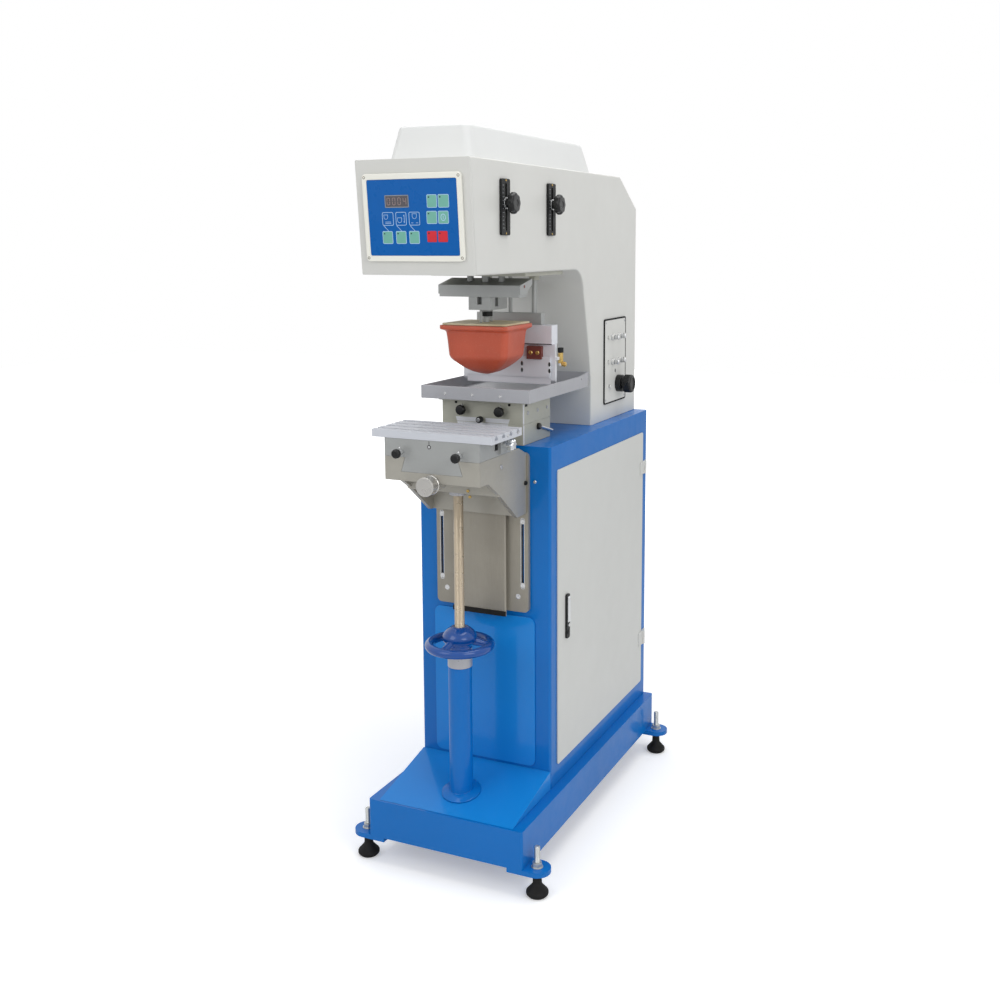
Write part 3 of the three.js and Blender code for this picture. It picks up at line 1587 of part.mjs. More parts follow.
// Clamp knobs: a black disc in front of a bright hub with a short lever
function clampKnob(discRadius, hubLength) {
  const hubFront = -seatGap - hubLength;
  const discFront = hubFront - clampDiscLength;
  const lever = turned('z', [
    [0, 0],
    [clampLeverRadius, 0],
    [clampLeverRadius, clampLeverLength - clampLeverRadius],
    [0, clampLeverLength],
  ], [0, hubFront + hubLength / 2, 0], pinFacets);
  return join(
    turned('y', [
      [0, discFront],
      [discRadius - clampDiscRound, discFront],
      [discRadius, discFront + clampDiscRound],
      [discRadius, hubFront],
      [0, hubFront],
    ], [0, 0, 0], barrelFacets),
    rod('y', clampHubRadius, [hubFront - weldDepth, -seatGap], [0, 0], smallFacets),
    rod('y', clampShaftRadius, [-seatGap - weldDepth, clampShaftDepth], [0, 0], smallFacets),
    lever,
  );
}

[['table_clamp_left', -1], ['table_clamp_right', 1]].forEach(([name, side]) => {
  const place = groupAt(side * tableClampOffset, kneeFront, tableClampHeight, crossSlide);
  piece(name, clampKnob(tableClampRadius, tableHubLength), blackPlastic, place);
});

// Ink bed: a fixed base and a slide that trims the tray forwards and backwards
function bedBase() {
  const neck = bedRailHalf - bedRailLean + runGap;
  const wide = bedRailHalf + runGap;
  const floor = bedBaseTop - bedRailHeight - runGap;
  const block = extrude('y', polygon([
    [-bedHalfWidth, bedBottom],
    [bedHalfWidth, bedBottom],
    [bedHalfWidth, bedBaseTop],
    [neck, bedBaseTop],
    [wide, floor],
    [-wide, floor],
    [-neck, bedBaseTop],
    [-bedHalfWidth, bedBaseTop],
  ]), [bedFront, bedBack]);
  const lug = box([-bedLugHalfWidth, bedLugHalfWidth], [bedLugFront, bedLugFront + bedLugLength],
    [floor - weldDepth, bedLugTop]);
  const bore = rod('y', bedScrewRadius + runGap,
    [bedLugFront - overrun, bedLugFront + bedLugLength + overrun], [0, bedScrewHeight], smallFacets);
  return cut(join(block, lug), bore);
}

piece('bed_base', bedBase(), machinedSteel);

const bed = groupAt(0, 0, 0);

function bedSlide() {
  const neck = bedRailHalf - bedRailLean;
  const plateBottom = bedBaseTop + seatGap;
  const block = extrude('y', polygon([
    [-bedRailHalf, bedBaseTop - bedRailHeight],
    [bedRailHalf, bedBaseTop - bedRailHeight],
    [neck, plateBottom],
    [bedHalfWidth, plateBottom],
    [bedHalfWidth, bedSlideTop],
    [-bedHalfWidth, bedSlideTop],
    [-bedHalfWidth, plateBottom],
    [-neck, plateBottom],
  ]), [bedFront, bedBack]);
  const lip = box([-bedLipHalfWidth, bedLipHalfWidth],
    [bedFront - bedLipOverhang, bedBack + bedLipOverhang], [bedSlideTop - weldDepth, bedLipTop]);
  const margin = bedSlideTravel + 2 * runGap;
  const pocket = box(
    [-bedLugHalfWidth - runGap, bedLugHalfWidth + runGap],
    [bedLugFront - margin, bedLugFront + bedLugLength + margin],
    [bedBaseTop - bedRailHeight - overrun, bedLugTop + runGap],
  );
  const bore = rod('y', bedScrewRadius + runGap, [bedFront - overrun, bedScrewEnd + overrun],
    [0, bedScrewHeight], smallFacets);
  const clampBores = [-1, 1].map((side) => rod('y', clampShaftRadius + runGap,
    [bedFront - overrun, bedFront + clampShaftDepth + runGap], [side * bedClampOffset, bedClampHeight],
    smallFacets));
  return cut(join(block, lip), pocket, bore, ...clampBores);
}

piece('bed_slide', bedSlide(), machinedSteel, bed);

// The trim screw turns in the base's lug and draws the slide, so its head clears the slide's travel
function bedKnob() {
  const headBack = -bedSlideTravel - seatGap;
  return join(
    rod('y', bedKnobRadius, [headBack - bedKnobLength, headBack], [0, 0], barrelFacets),
    rod('y', bedScrewRadius, [headBack - weldDepth, bedScrewEnd - bedSlideTravel - bedFront], [0, 0],
      smallFacets),
  );
}

piece('bed_knob', bedKnob(), blackPlastic, groupAt(0, bedFront, bedScrewHeight));

[['bed_clamp_left', -1], ['bed_clamp_right', 1]].forEach(([name, side]) => {
  const place = groupAt(side * bedClampOffset, bedFront, bedClampHeight, bed);
  piece(name, clampKnob(bedClampRadius, bedHubLength), blackPlastic, place);
});

// Ink tray with side walls that sweep up at the back, and the etched plate in it
function inkTray() {
  const sideShape = (inset, floor, rise) => {
    const shape = new THREE.Shape();
    shape.moveTo(trayFront + inset, trayBottom + floor);
    shape.lineTo(trayBack - inset, trayBottom + floor);
    shape.lineTo(trayBack + trayFlareReach - inset, trayRim + trayFlareRise + rise);
    shape.quadraticCurveTo(
      (trayFlareStart + trayBack) / 2, trayRim + rise, trayFlareStart, trayRim + rise,
    );
    shape.lineTo(trayFront + inset, trayRim + rise);
    return shape;
  };
  const inner = trayHalfWidth - trayWall;
  return cut(
    extrude('x', sideShape(0, 0, 0), [-trayHalfWidth, trayHalfWidth]),
    extrude('x', sideShape(trayWall, trayFloor, overrun), [-inner, inner]),
  );
}

piece('ink_tray', inkTray(), groundSteel, bed);
piece('cliche_plate', extrude('z', roundedRect(
  [-clicheHalfWidth, clicheHalfWidth], [clicheFront, clicheBack], clicheCorner,
), [clicheBottom, clicheBottom + clicheThickness]), groundSteel, bed);

// Slide frame under the head's top, with two guide rods and the carriage cylinder
function slideFrame() {
  const legBottom = guideRodHeight - 2 * guideRodRadius;
  const plate = box([-frameHalfWidth, frameHalfWidth], [frontBracketFront, framePlateBack],
    [framePlateBottom, framePlateTop]);
  const legs = [frontBracketFront, backBracketFront].map((front) => box(
    [-frameHalfWidth, frameHalfWidth], [front, front + bracketDepth],
    [legBottom, framePlateBottom + weldDepth],
  ));
  const rods = [-1, 1].map((side) => rod('y', guideRodRadius,
    [frontBracketFront + weldDepth, backBracketFront + bracketDepth - weldDepth],
    [side * guideRodOffset, guideRodHeight], barrelFacets));
  const pistonBore = rod('y', pistonRodRadius + runGap,
    [backBracketFront - overrun, backBracketFront + bracketDepth + overrun], [0, guideRodHeight]);
  const barrelRoom = box(
    [-padBarrelRadius - overrun, padBarrelRadius + overrun],
    [frontBracketFront - overrun, frontBracketFront + bracketDepth + overrun],
    [legBottom - overrun, padBarrelTop + overrun],
  );
  return join(cut(join(plate, ...legs), pistonBore, barrelRoom), ...rods);
}

piece('slide_frame', slideFrame(), machinedSteel);

function airCylinder() {
  const front = backBracketFront + bracketDepth + seatGap;
  const back = front + airCylinderLength;
  return cut(
    rod('y', airCylinderRadius, [front, back], [0, guideRodHeight]),
    rod('y', airCylinderRadius - airCylinderWall, [front + airCylinderWall, back - airCylinderWall],
      [0, guideRodHeight], barrelFacets),
    rod('y', pistonRodRadius + runGap, [front - overrun, front + airCylinderWall + overrun],
      [0, guideRodHeight], barrelFacets),
  );
}

piece('carriage_cylinder', airCylinder(), aluminium);

// Carriage: a ribbed plate on the guide rods with the pad cylinder and the blade cylinder
const carriage = groupAt(0, 0, 0);

function carriageBlock() {
  const top = carriageBottom + carriageHeight;
  const halfWeb = carriageHalfWidth - carriageRibWidth;
  const block = box([-carriageHalfWidth, carriageHalfWidth], [carriageFront, carriageBack],
    [carriageBottom, top]);
  const pocket = box([-halfWeb, halfWeb], [carriageFront + carriageWeb, carriageBack - carriageWeb],
    [carriageBottom + carriageWeb, top + overrun]);
  const padBarrel = rod('z', padBarrelRadius, [carriageBottom, padBarrelTop], [0, padCentre]);
  const bladeBarrel = rod('z', scraperBarrelRadius, [carriageBottom, scraperBarrelTop],
    [0, scraperRodCentre], barrelFacets);
  const bladeBosses = [-1, 1].map((side) => rod('z', bladeBossRadius, [carriageBottom, top],
    [side * scraperRodOffset, scraperRodCentre], barrelFacets));
  const bladeBushes = [-1, 1].map((side) => rod('z', bladeBushRadius,
    [carriageBottom - bladeBushDrop, carriageBottom + weldDepth],
    [side * scraperRodOffset, scraperRodCentre], barrelFacets));
  const padBosses = [-1, 1].map((side) => rod('z', padBossRadius, [carriageBottom, top],
    [side * padGuideOffset, padCentre], barrelFacets));
  const piston = rod('y', pistonRodRadius, [carriageBack - weldDepth, carriageBack + pistonRodLength],
    [0, guideRodHeight], barrelFacets);
  const below = carriageBottom - bladeBushDrop - overrun;
  const bores = [
    rod('z', padRodRadius + runGap, [below, padRodTop + runGap], [0, padCentre], barrelFacets),
    rod('z', scraperPistonRadius + runGap, [below, scraperPistonTop + runGap], [0, scraperRodCentre],
      smallFacets),
    ...[-1, 1].flatMap((side) => [
      rod('z', padGuideRadius + runGap, [below, top + overrun], [side * padGuideOffset, padCentre],
        smallFacets),
      rod('z', scraperRodRadius + runGap, [below, top + overrun],
        [side * scraperRodOffset, scraperRodCentre], smallFacets),
      rod('y', guideRodRadius + runGap, [carriageFront - overrun, carriageBack + overrun],
        [side * guideRodOffset, guideRodHeight], barrelFacets),
    ]),
  ];
  const body = join(
    cut(block, pocket), padBarrel, bladeBarrel, ...bladeBosses, ...bladeBushes, ...padBosses, piston,
  );
  return cut(body, ...bores);
}

piece('carriage', carriageBlock(), machinedSteel, carriage);

// Pad head: rail with piston rod and guides, adaptor, wooden base and silicone pad
const padHead = groupAt(0, padCentre, 0, carriage);

function padRail() {
  const front = padRailFront - padCentre;
  const barBack = front + padRailBarDepth;
  const back = padRailBack - padCentre;
  const backTop = padRailBottom + padRailBackHeight;
  const bar = extrude('x', polygon([
    [front, padRailBottom + padRailLip],
    [barBack, padRailBottom + padRailLip],
    [barBack, padRailBottom + padRailFrontHeight - padRailWing],
    [back, backTop - padRailWing],
    [back, backTop],
    [front, padRailBottom + padRailFrontHeight],
  ]), [-padRailHalfWidth, padRailHalfWidth]);
  const lip = box([-padRailHalfWidth + padRailLipInset, padRailHalfWidth - padRailLipInset],
    [front, barBack], [padRailBottom, padRailBottom + padRailLip + weldDepth]);
  const root = padRailBottom + padRodRoot;
  const guides = [-1, 1].map((side) => rod('z', padGuideRadius, [root, padGuideTop],
    [side * padGuideOffset, 0], smallFacets));
  const piston = rod('z', padRodRadius, [root, padRodTop], [0, 0], barrelFacets);
  return join(bar, lip, ...guides, piston);
}

piece('pad_rail', padRail(), machinedSteel, padHead);

function padAdaptor() {
  const front = adaptorFront - padCentre;
  const block = box([-adaptorHalfWidth, adaptorHalfWidth], [front, adaptorBack - padCentre],
    [adaptorBottom, adaptorTop]);
  const notch = box([-adaptorNotchWidth / 2, adaptorNotchWidth / 2],
    [front - overrun, front + adaptorNotchDepth],
    [adaptorTop - adaptorNotchHeight, adaptorTop + overrun]);
  const sideCuts = [-1, 1].map((side) => {
    const inner = side * (adaptorHalfWidth - adaptorSideDepth);
    const outer = side * (adaptorHalfWidth + overrun);
    const from = adaptorSideFront - padCentre;
    return box([Math.min(inner, outer), Math.max(inner, outer)], [from, from + adaptorSideWidth],
      [adaptorTop - adaptorSideHeight, adaptorTop + overrun]);
  });
  const seat = padBaseTop + seatGap;
  const stud = rod('z', adaptorStudRadius, [seat, adaptorBottom + weldDepth], [0, 0], smallFacets);
  const nut = rod('z', adaptorNutRadius, [adaptorBottom - adaptorNutHeight, adaptorBottom + weldDepth],
    [0, 0], hexFacets);
  const pins = [-1, 1].map((side) => rod('z', adaptorPinRadius, [seat, adaptorBottom + weldDepth],
    [0, side * adaptorPinOffset], pinFacets));
  return join(cut(block, notch, ...sideCuts), nut, stud, ...pins);
}

piece('pad_adaptor', padAdaptor(), machinedSteel, padHead);

function padBase() {
  const halfWidth = padFlangeHalfWidth - padBaseInset;
  const halfDepth = padFlangeHalfDepth - padBaseInset;
  return extrude('z', roundedRect([-halfWidth, halfWidth], [-halfDepth, halfDepth], padCorner),
    [padBaseBottom, padBaseTop]);
}

piece('pad_base', padBase(), paleWood, padHead);

// The pad hangs from a flange, runs down with a slight draft and ends in a crowned hip
function siliconePad() {
  const level = (height, halfWidth, halfDepth, radius) =>
    outlineAt(height, [-halfWidth, halfWidth], [-halfDepth, halfDepth], radius);
  const flangeBottom = padTop - padFlangeHeight;
  const crown = padShoulder - padApex;
  const outlines = padCrownShares.map(([rise, width]) => level(
    padApex + rise * crown,
    width * padBodyHalfWidth,
    width * padBodyHalfDepth,
    padBodyCorner * width,
  ));
  const scaled = (height, widthShare, depthShare, radius) =>
    level(height, padBodyHalfWidth * widthShare, padBodyHalfDepth * depthShare, radius);
  outlines.unshift(scaled(padApex, padTipShare, padTipShare, padBodyCorner * padTipShare));
  outlines.push(
    scaled(padShoulder, padShoulderShare, padShoulderShare, padBodyCorner),
    level(flangeBottom - padFlangeHeight, padBodyHalfWidth, padBodyHalfDepth, padBodyCorner),
    scaled(flangeBottom, padRootWidthShare, padRootDepthShare, padBodyCorner),
    level(flangeBottom + padFlangeEdge, padFlangeHalfWidth, padFlangeHalfDepth, padCorner),
    level(padTop, padFlangeHalfWidth, padFlangeHalfDepth, padCorner),
  );
  return loft(outlines);
}

piece('silicone_pad', siliconePad(), siliconeRed, padHead);

// Doctor blade unit: crossbar on two rods and a piston, holder and spring-steel blade
const bladeUnit = groupAt(0, scraperRodCentre, 0, carriage);

function scraperBar() {
  const top = crossbarBottom + crossbarHeight;
  const bar = box([-crossbarHalfWidth, crossbarHalfWidth], [-crossbarHalfDepth, crossbarHalfDepth],
    [crossbarBottom, top]);
  const rods = [-1, 1].map((side) => rod('z', scraperRodRadius, [top - weldDepth, scraperRodTop],
    [side * scraperRodOffset, 0], smallFacets));
  const piston = rod('z', scraperPistonRadius, [top - weldDepth, scraperPistonTop], [0, 0], smallFacets);
  return join(bar, ...rods, piston);
}

piece('scraper_bar', scraperBar(), machinedSteel, bladeUnit);

function scraperHolder() {
  const front = holderFront - scraperRodCentre;
  const back = holderBack - scraperRodCentre;
  const block = box([-holderHalfWidth, holderHalfWidth], [front, back],
    [holderBottom, crossbarBottom - seatGap]);
  const plateFront = front + holderPlateInset;
  const plate = extrude('x', polygon([
    [plateFront, holderPlateBottom + holderPlateChamfer],
    [plateFront + holderPlateChamfer, holderPlateBottom],
    [plateFront + holderPlateThickness, holderPlateBottom],
    [plateFront + holderPlateThickness, holderBottom + weldDepth],
    [plateFront, holderBottom + weldDepth],
  ]), [-holderPlateHalfWidth, holderPlateHalfWidth]);
  const window = box([-holderWindowHalfWidth, holderWindowHalfWidth], [front - overrun, back + overrun],
    [holderBottom - 2 * holderWindowHeight, holderBottom - holderWindowHeight]);
  const fitting = join(
    rod('z', hoseFittingRadius, [hoseFittingBottom, hoseFittingBottom + hoseFittingHeight],
      [hoseFittingOffset, back - hoseFittingRadius], smallFacets),
    box([holderPlateHalfWidth - weldDepth, hoseFittingOffset], [plateFront + weldDepth, back],
      [hoseFittingBottom + hoseFittingSeat,
        hoseFittingBottom + hoseFittingSeat + hoseFittingSeatHeight]),
  );
  return join(cut(join(block, plate), window), fitting);
}

piece('scraper_holder', scraperHolder(), aluminium, bladeUnit);

function doctorBlade() {
  const plateFront = holderFront - scraperRodCentre + holderPlateInset;
  const back = plateFront - seatGap;
  const blade = extrude('x', polygon([
    [back - bladeThickness, bladeBottom + bladeThickness],
    [back, bladeBottom],
    [back, bladeBottom + bladeHeight],
    [back - bladeThickness, bladeBottom + bladeHeight],
  ]), [-bladeHalfWidth, bladeHalfWidth]);
  const key = box([-bladeHalfWidth, bladeHalfWidth], [back - bladeThickness - bladeKeyThickness, back],
    [bladeBottom + bladeHeight / 2, bladeBottom + bladeKeyHeight]);
  return join(blade, key);
}

piece('doctor_blade', doctorBlade(), groundSteel, bladeUnit);

// Control box and valve manifold on the cabinet's left wall
const leftWallX = -cabinetHalfWidth + cabinetWall + seatGap;

function controlBox() {
  const body = box([leftWallX, leftWallX + controlBoxDepth - controlBoxLid],
    [controlBoxFront + controlBoxLip, controlBoxBack - controlBoxLip],
    [controlBoxBottom + controlBoxLip, controlBoxTop - controlBoxLip]);
  const lidBack = leftWallX + controlBoxDepth - controlBoxLid - weldDepth;
  const lid = extrude('x', roundedRect(
    [controlBoxFront, controlBoxBack], [controlBoxBottom, controlBoxTop], controlBoxLip,
  ), [lidBack, leftWallX + controlBoxDepth]);
  return join(body, lid);
}

piece('control_box', controlBox(), greyPlastic);

function valveManifold() {
  const manifoldTop = manifoldBottom + manifoldHeight;
  const bar = box([leftWallX, leftWallX + manifoldDepth], [manifoldFront, manifoldBack],
    [manifoldBottom, manifoldTop]);
  const pitch = (manifoldBack - manifoldFront) / manifoldValveCount;
  const width = pitch * manifoldValveShare;
  const valves = [];
  for (let i = 0; i < manifoldValveCount; i += 1) {
    const middle = manifoldFront + pitch / 2 + i * pitch;
    valves.push(box(
      [leftWallX + cabinetWall, leftWallX + manifoldDepth - cabinetWall],
      [middle - width / 2, middle + width / 2],
      [manifoldTop - weldDepth, manifoldTop + manifoldValveHeight],
    ));
  }
  return join(bar, ...valves);
}

piece('valve_manifold', valveManifold(), aluminium);

// Service plate on the back: a recessed power inlet and an air inlet
function servicePlate() {
  const face = baseDepth + seatGap;
  const plateFace = face + inletFlangeThickness;
  const plate = extrude('y', roundedRect(
    [-inletFlangeHalfWidth, servicePlateRight],
    [inletBottom, inletBottom + inletFlangeHeight],
    servicePlateCorner,
  ), [face, plateFace]);
  const half = inletFlangeHalfWidth - inletPocketInset;
  const span = [inletBottom + inletPocketInset, inletBottom + inletFlangeHeight - inletPocketInset];
  const body = box([-half, half], [face - inletBodyDepth, face + weldDepth], span);
  const pocket = box(
    [-half + inletWall, half - inletWall],
    [plateFace - inletPocketDepth, plateFace + overrun],
    [span[0] + inletWall, span[1] - inletWall],
  );
  const place = [airInletOffset, inletBottom + inletFlangeHeight / 2];
  const fitting = rod('y', airInletRadius, [face, plateFace + airInletReach], place, hexFacets);
  const bore = rod('y', airInletBore, [plateFace, plateFace + airInletReach + overrun], place,
    smallFacets);
  return cut(join(plate, body, fitting), pocket, bore);
}

piece('service_plate', servicePlate(), blackPlastic);

// The origin is on the floor, in the middle of the footprint
const reach = new THREE.Box3().setFromObject(machine);
machine.position.set(0, -(reach.min.y + reach.max.y) / 2, 0);

export default machine;
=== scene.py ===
import bmesh
import bpy
import json
import math
from mathutils import Matrix, Vector


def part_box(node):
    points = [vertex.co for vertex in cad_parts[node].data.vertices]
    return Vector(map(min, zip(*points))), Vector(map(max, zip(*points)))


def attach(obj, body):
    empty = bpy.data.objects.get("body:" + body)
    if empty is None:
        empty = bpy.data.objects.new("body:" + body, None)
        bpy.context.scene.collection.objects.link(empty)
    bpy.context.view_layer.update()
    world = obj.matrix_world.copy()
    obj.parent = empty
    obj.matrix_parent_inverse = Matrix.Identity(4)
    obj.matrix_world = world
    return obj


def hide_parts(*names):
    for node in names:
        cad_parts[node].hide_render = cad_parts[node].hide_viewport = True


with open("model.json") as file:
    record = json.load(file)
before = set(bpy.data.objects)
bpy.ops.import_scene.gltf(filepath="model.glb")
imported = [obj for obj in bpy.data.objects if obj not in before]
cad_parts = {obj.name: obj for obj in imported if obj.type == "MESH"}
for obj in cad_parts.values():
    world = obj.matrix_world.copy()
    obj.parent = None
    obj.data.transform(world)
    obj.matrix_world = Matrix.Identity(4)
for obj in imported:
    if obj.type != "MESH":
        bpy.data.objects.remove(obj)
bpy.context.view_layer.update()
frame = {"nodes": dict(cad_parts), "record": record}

# Working frame: millimetres, Y counted from the front face of the base, as in the part's source
MM = 0.001
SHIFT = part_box("base_frame")[0].y

# Mesh limits: an edge is sharp from SHARP on, faces within FLAT and points within NEAR become one
SHARP = math.radians(38)
FLAT = math.radians(0.4)
NEAR = 2e-6

# Axes and faces that several pieces share
SCREW_Y = 81
PAD_Y = 214
CROSS_FRONT = -27
GUIDE_FRONT = 184.2
BED_FRONT = 192.5
BLOCK_FRONT = 310.6
HOLDER_FRONT = 314
FITTING_X, FITTING_Y = 114, 340
KNEE_SIDE = 104
TABLE_SIDE = 132
SCALE_SIDE = 126.8
SCALES = (("front", 48), ("back", 266))
SIDES = (("left", -1), ("right", 1))

# Pneumatic panel: its rectangle on the column's side, its valves and its regulator
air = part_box("pneumatic_panel")
AIR_SIDE = 124
AIR_Y0, AIR_Y1 = (air[0].y - SHIFT) / MM, (air[1].y - SHIFT) / MM
AIR_Z0, AIR_Z1 = air[0].z / MM, air[1].z / MM
VALVES = [(AIR_Y0 + along, z) for z in (1071, 1013) for along in (48, 92.5)]
REGULATOR_Y, REGULATOR_Z = AIR_Y0 + 88, 958


def at(x, y, z):
    return Vector((x * MM, y * MM + SHIFT, z * MM))


def rgb(red, green, blue):
    def linear(value):
        value /= 255
        return value / 12.92 if value <= 0.04045 else ((value + 0.055) / 1.055) ** 2.4
    return (linear(red), linear(green), linear(blue), 1.0)


def shade(colour, share):
    return tuple(min(1.0, c * share) for c in colour[:3]) + (1.0,)


# Materials
class Finish:
    """A material whose colour, roughness and bump come from noise in object space."""

    def __init__(self, name):
        self.material = bpy.data.materials.new(name)
        self.material.use_nodes = True
        self.tree = self.material.node_tree
        self.tree.nodes.clear()
        self.out = self.node("ShaderNodeOutputMaterial")
        self.body = self.node("ShaderNodeBsdfPrincipled")
        self.link(self.body.outputs["BSDF"], self.out.inputs["Surface"])
        self.coords = self.node("ShaderNodeTexCoord").outputs["Object"]

    def node(self, kind, **values):
        made = self.tree.nodes.new(kind)
        for key, value in values.items():
            setattr(made, key, value)
        return made

    def link(self, source, target):
        self.tree.links.new(source, target)

    def fill(self, socket, value):
        """Links value into the socket where it is another node's output, or sets it."""
        if isinstance(value, bpy.types.NodeSocket):
            self.link(value, socket)
        else:
            socket.default_value = value

    def noise(self, scale, detail, stretch=(1, 1, 1), rough=0.5):
        mapping = self.node("ShaderNodeMapping")
        mapping.inputs["Scale"].default_value = stretch
        self.link(self.coords, mapping.inputs["Vector"])
        noise = self.node("ShaderNodeTexNoise")
        noise.inputs["Scale"].default_value = scale
        noise.inputs["Detail"].default_value = detail
        noise.inputs["Roughness"].default_value = rough
        self.link(mapping.outputs["Vector"], noise.inputs["Vector"])
        return noise.outputs["Fac"]

    def spread(self, source, low, high, frm=0.3, to=0.7):
        """Maps the values of source between frm and to onto low to high."""
        ranged = self.node("ShaderNodeMapRange")
        ranged.inputs["From Min"].default_value = frm
        ranged.inputs["From Max"].default_value = to
        ranged.inputs["To Min"].default_value = low
        ranged.inputs["To Max"].default_value = high
        self.link(source, ranged.inputs["Value"])
        return ranged.outputs["Result"]

    def blend(self, factor, first, second):
        mix = self.node("ShaderNodeMix", data_type="RGBA")
        for slot, value in (("Factor_Float", factor), ("A_Color", first), ("B_Color", second)):
            self.fill(next(s for s in mix.inputs if s.identifier == slot), value)
        return next(s for s in mix.outputs if s.identifier == "Result_Color")

    def bump(self, height, strength, distance, normal=None):
        bump = self.node("ShaderNodeBump")
        bump.inputs["Strength"].default_value = strength
        bump.inputs["Distance"].default_value = distance
        self.link(height, bump.inputs["Height"])
        if normal is not None:
            self.link(normal, bump.inputs["Normal"])
        return bump.outputs["Normal"]

    def set(self, **values):
        for key, value in values.items():
            self.fill(self.body.inputs[key.replace("_", " ")], value)
        return self.material


def paint(name, colour, rough=0.4, tint=0.05, peel=0.12, dust=0.05, coat=0.0, gloss=0.3):
    f = Finish(name)
    cloud = f.spread(f.noise(3.5, 4), 0, 1)
    specks = f.spread(f.noise(420, 2), 0, dust, 0.62, 0.72)
    base = f.blend(cloud, shade(colour, 1 - tint), shade(colour, 1 + tint))
    base = f.blend(specks, base, shade(colour, 0.55))
    orange_peel = f.bump(f.noise(650, 2), peel, 0.00012)
    normal = f.bump(f.noise(9, 3), 0.25, 0.0006, orange_peel)
    rough = f.spread(f.noise(24, 5), rough - 0.06, rough + 0.08)
    return f.set(Base_Color=base, Roughness=rough, Normal=normal, Coat_Weight=coat,
                 Coat_Roughness=0.1, Coat_Normal=normal, Specular_IOR_Level=gloss)


def metal(name, colour, rough=0.36, lines=(1, 40, 40), depth=0.12, stain=0.06, metallic=0.3,
          pits=0.08):
    """lines stretches the tool marks: 1 along them, a large number across them."""
    f = Finish(name)
    cloud = f.spread(f.noise(8, 5, rough=0.55), 0, 1)
    streaks = f.noise(26, 3, lines, 0.6)
    pitting = f.spread(f.noise(210, 2), 0, pits, 0.6, 0.8)
    base = f.blend(cloud, shade(colour, 1 - stain), shade(colour, 1 + stain * 0.8))
    base = f.blend(f.spread(streaks, 0, 0.5), base, shade(colour, 1 - stain * 1.2))
    base = f.blend(pitting, base, shade(colour, 0.6))
    normal = f.bump(streaks, depth, 0.00006)
    rough = f.spread(f.noise(34, 4, (1, 2, 2)), rough - 0.05, rough + 0.08)
    return f.set(Base_Color=base, Metallic=metallic, Roughness=rough, Normal=normal)


def plastic(name, colour, rough=0.45, tint=0.12, grain=0.2, grain_scale=900, coat=0.0, gloss=0.3):
    f = Finish(name)
    cloud = f.spread(f.noise(40, 4), 0, 1)
    base = f.blend(cloud, shade(colour, 1 - tint), shade(colour, 1 + tint))
    normal = f.bump(f.noise(grain_scale, 2), grain, 0.0001)
    rough = f.spread(f.noise(60, 4), rough - 0.07, rough + 0.09)
    return f.set(Base_Color=base, Roughness=rough, Normal=normal, Coat_Weight=coat,
                 Specular_IOR_Level=gloss)


def silicone(name, colour, dust):
    f = Finish(name)
    cloud = f.spread(f.noise(14, 4), 0, 1)
    specks = f.spread(f.noise(300, 3), 0, 0.18, 0.55, 0.75)
    base = f.blend(cloud, shade(colour, 0.9), shade(colour, 1.08))
    base = f.blend(specks, base, dust)
    normal = f.bump(f.noise(120, 3), 0.12, 0.0003)
    rough = f.spread(f.noise(30, 5), 0.3, 0.46)
    return f.set(Base_Color=base, Roughness=rough, Normal=normal, Subsurface_Weight=0.06,
                 Subsurface_Radius=(0.006, 0.002, 0.001), Coat_Weight=0.15, Coat_Roughness=0.3)


def wood(name, colour, patch):
    f = Finish(name)
    grain = f.noise(18, 5, (1, 14, 14), 0.6)
    base = f.blend(f.spread(grain, 0, 1), shade(colour, 0.8), shade(colour, 1.08))
    base = f.blend(f.spread(f.noise(9, 3), 0, 0.5), base, patch)
    return f.set(Base_Color=base, Roughness=0.62, Normal=f.bump(grain, 0.3, 0.0002))


ALONG_X, ALONG_Y, ALONG_Z = (1, 60, 60), (40, 1, 40), (30, 30, 1)

BLUE = paint("blue_powder_coat", rgb(0, 106, 186), coat=0.4, gloss=0.08)
BLUE_COVER = paint("blue_cover_coat", rgb(22, 128, 208), rough=0.36, coat=0.45, gloss=0.08)
BLUE_WHEEL = paint("blue_gloss_enamel", rgb(2, 70, 148), rough=0.2, peel=0.03, coat=0.7, gloss=0.2)
WHITE = paint("white_powder_coat", rgb(210, 210, 206), tint=0.015, dust=0.02)
WHITE_COVER = paint("white_cover_coat", rgb(219, 220, 219), tint=0.015, dust=0.02)
WHITE_FRAME = paint("white_frame_coat", rgb(236, 235, 226), tint=0.02, dust=0.02)
DOOR_WHITE = paint("door_powder_coat", rgb(205, 206, 203), tint=0.015, dust=0.02)
STEEL = metal("milled_steel", rgb(162, 164, 163))
STEEL_WARM = metal("ground_cast_iron", rgb(166, 163, 154), lines=ALONG_Y, stain=0.09)
STEEL_BED = metal("scraped_bed_iron", rgb(176, 176, 164), rough=0.42, stain=0.1)
GUIDE = metal("scraped_guide_steel", rgb(152, 147, 136), rough=0.4, lines=ALONG_Z, stain=0.14,
              pits=0.16)
GROUND = metal("ground_steel", rgb(172, 173, 178), rough=0.32, lines=ALONG_X, stain=0.05)
BRIGHT = metal("bright_steel", rgb(206, 207, 208), rough=0.2, stain=0.05, metallic=0.8)
ALUMINIUM = metal("milled_aluminium", rgb(200, 203, 210), rough=0.5, lines=(1, 60, 20),
                  stain=0.03, metallic=0.2, pits=0.03)
HOLDER = metal("brushed_aluminium", rgb(220, 222, 228), rough=0.42, lines=ALONG_Z, stain=0.03,
               pits=0.02)
TURNED = metal("turned_aluminium", rgb(190, 188, 184), rough=0.26, lines=(30, 1, 30), metallic=0.7)
CHROME = metal("polished_chrome", rgb(230, 232, 234), rough=0.1, depth=0.05, stain=0.04,
               metallic=1.0)
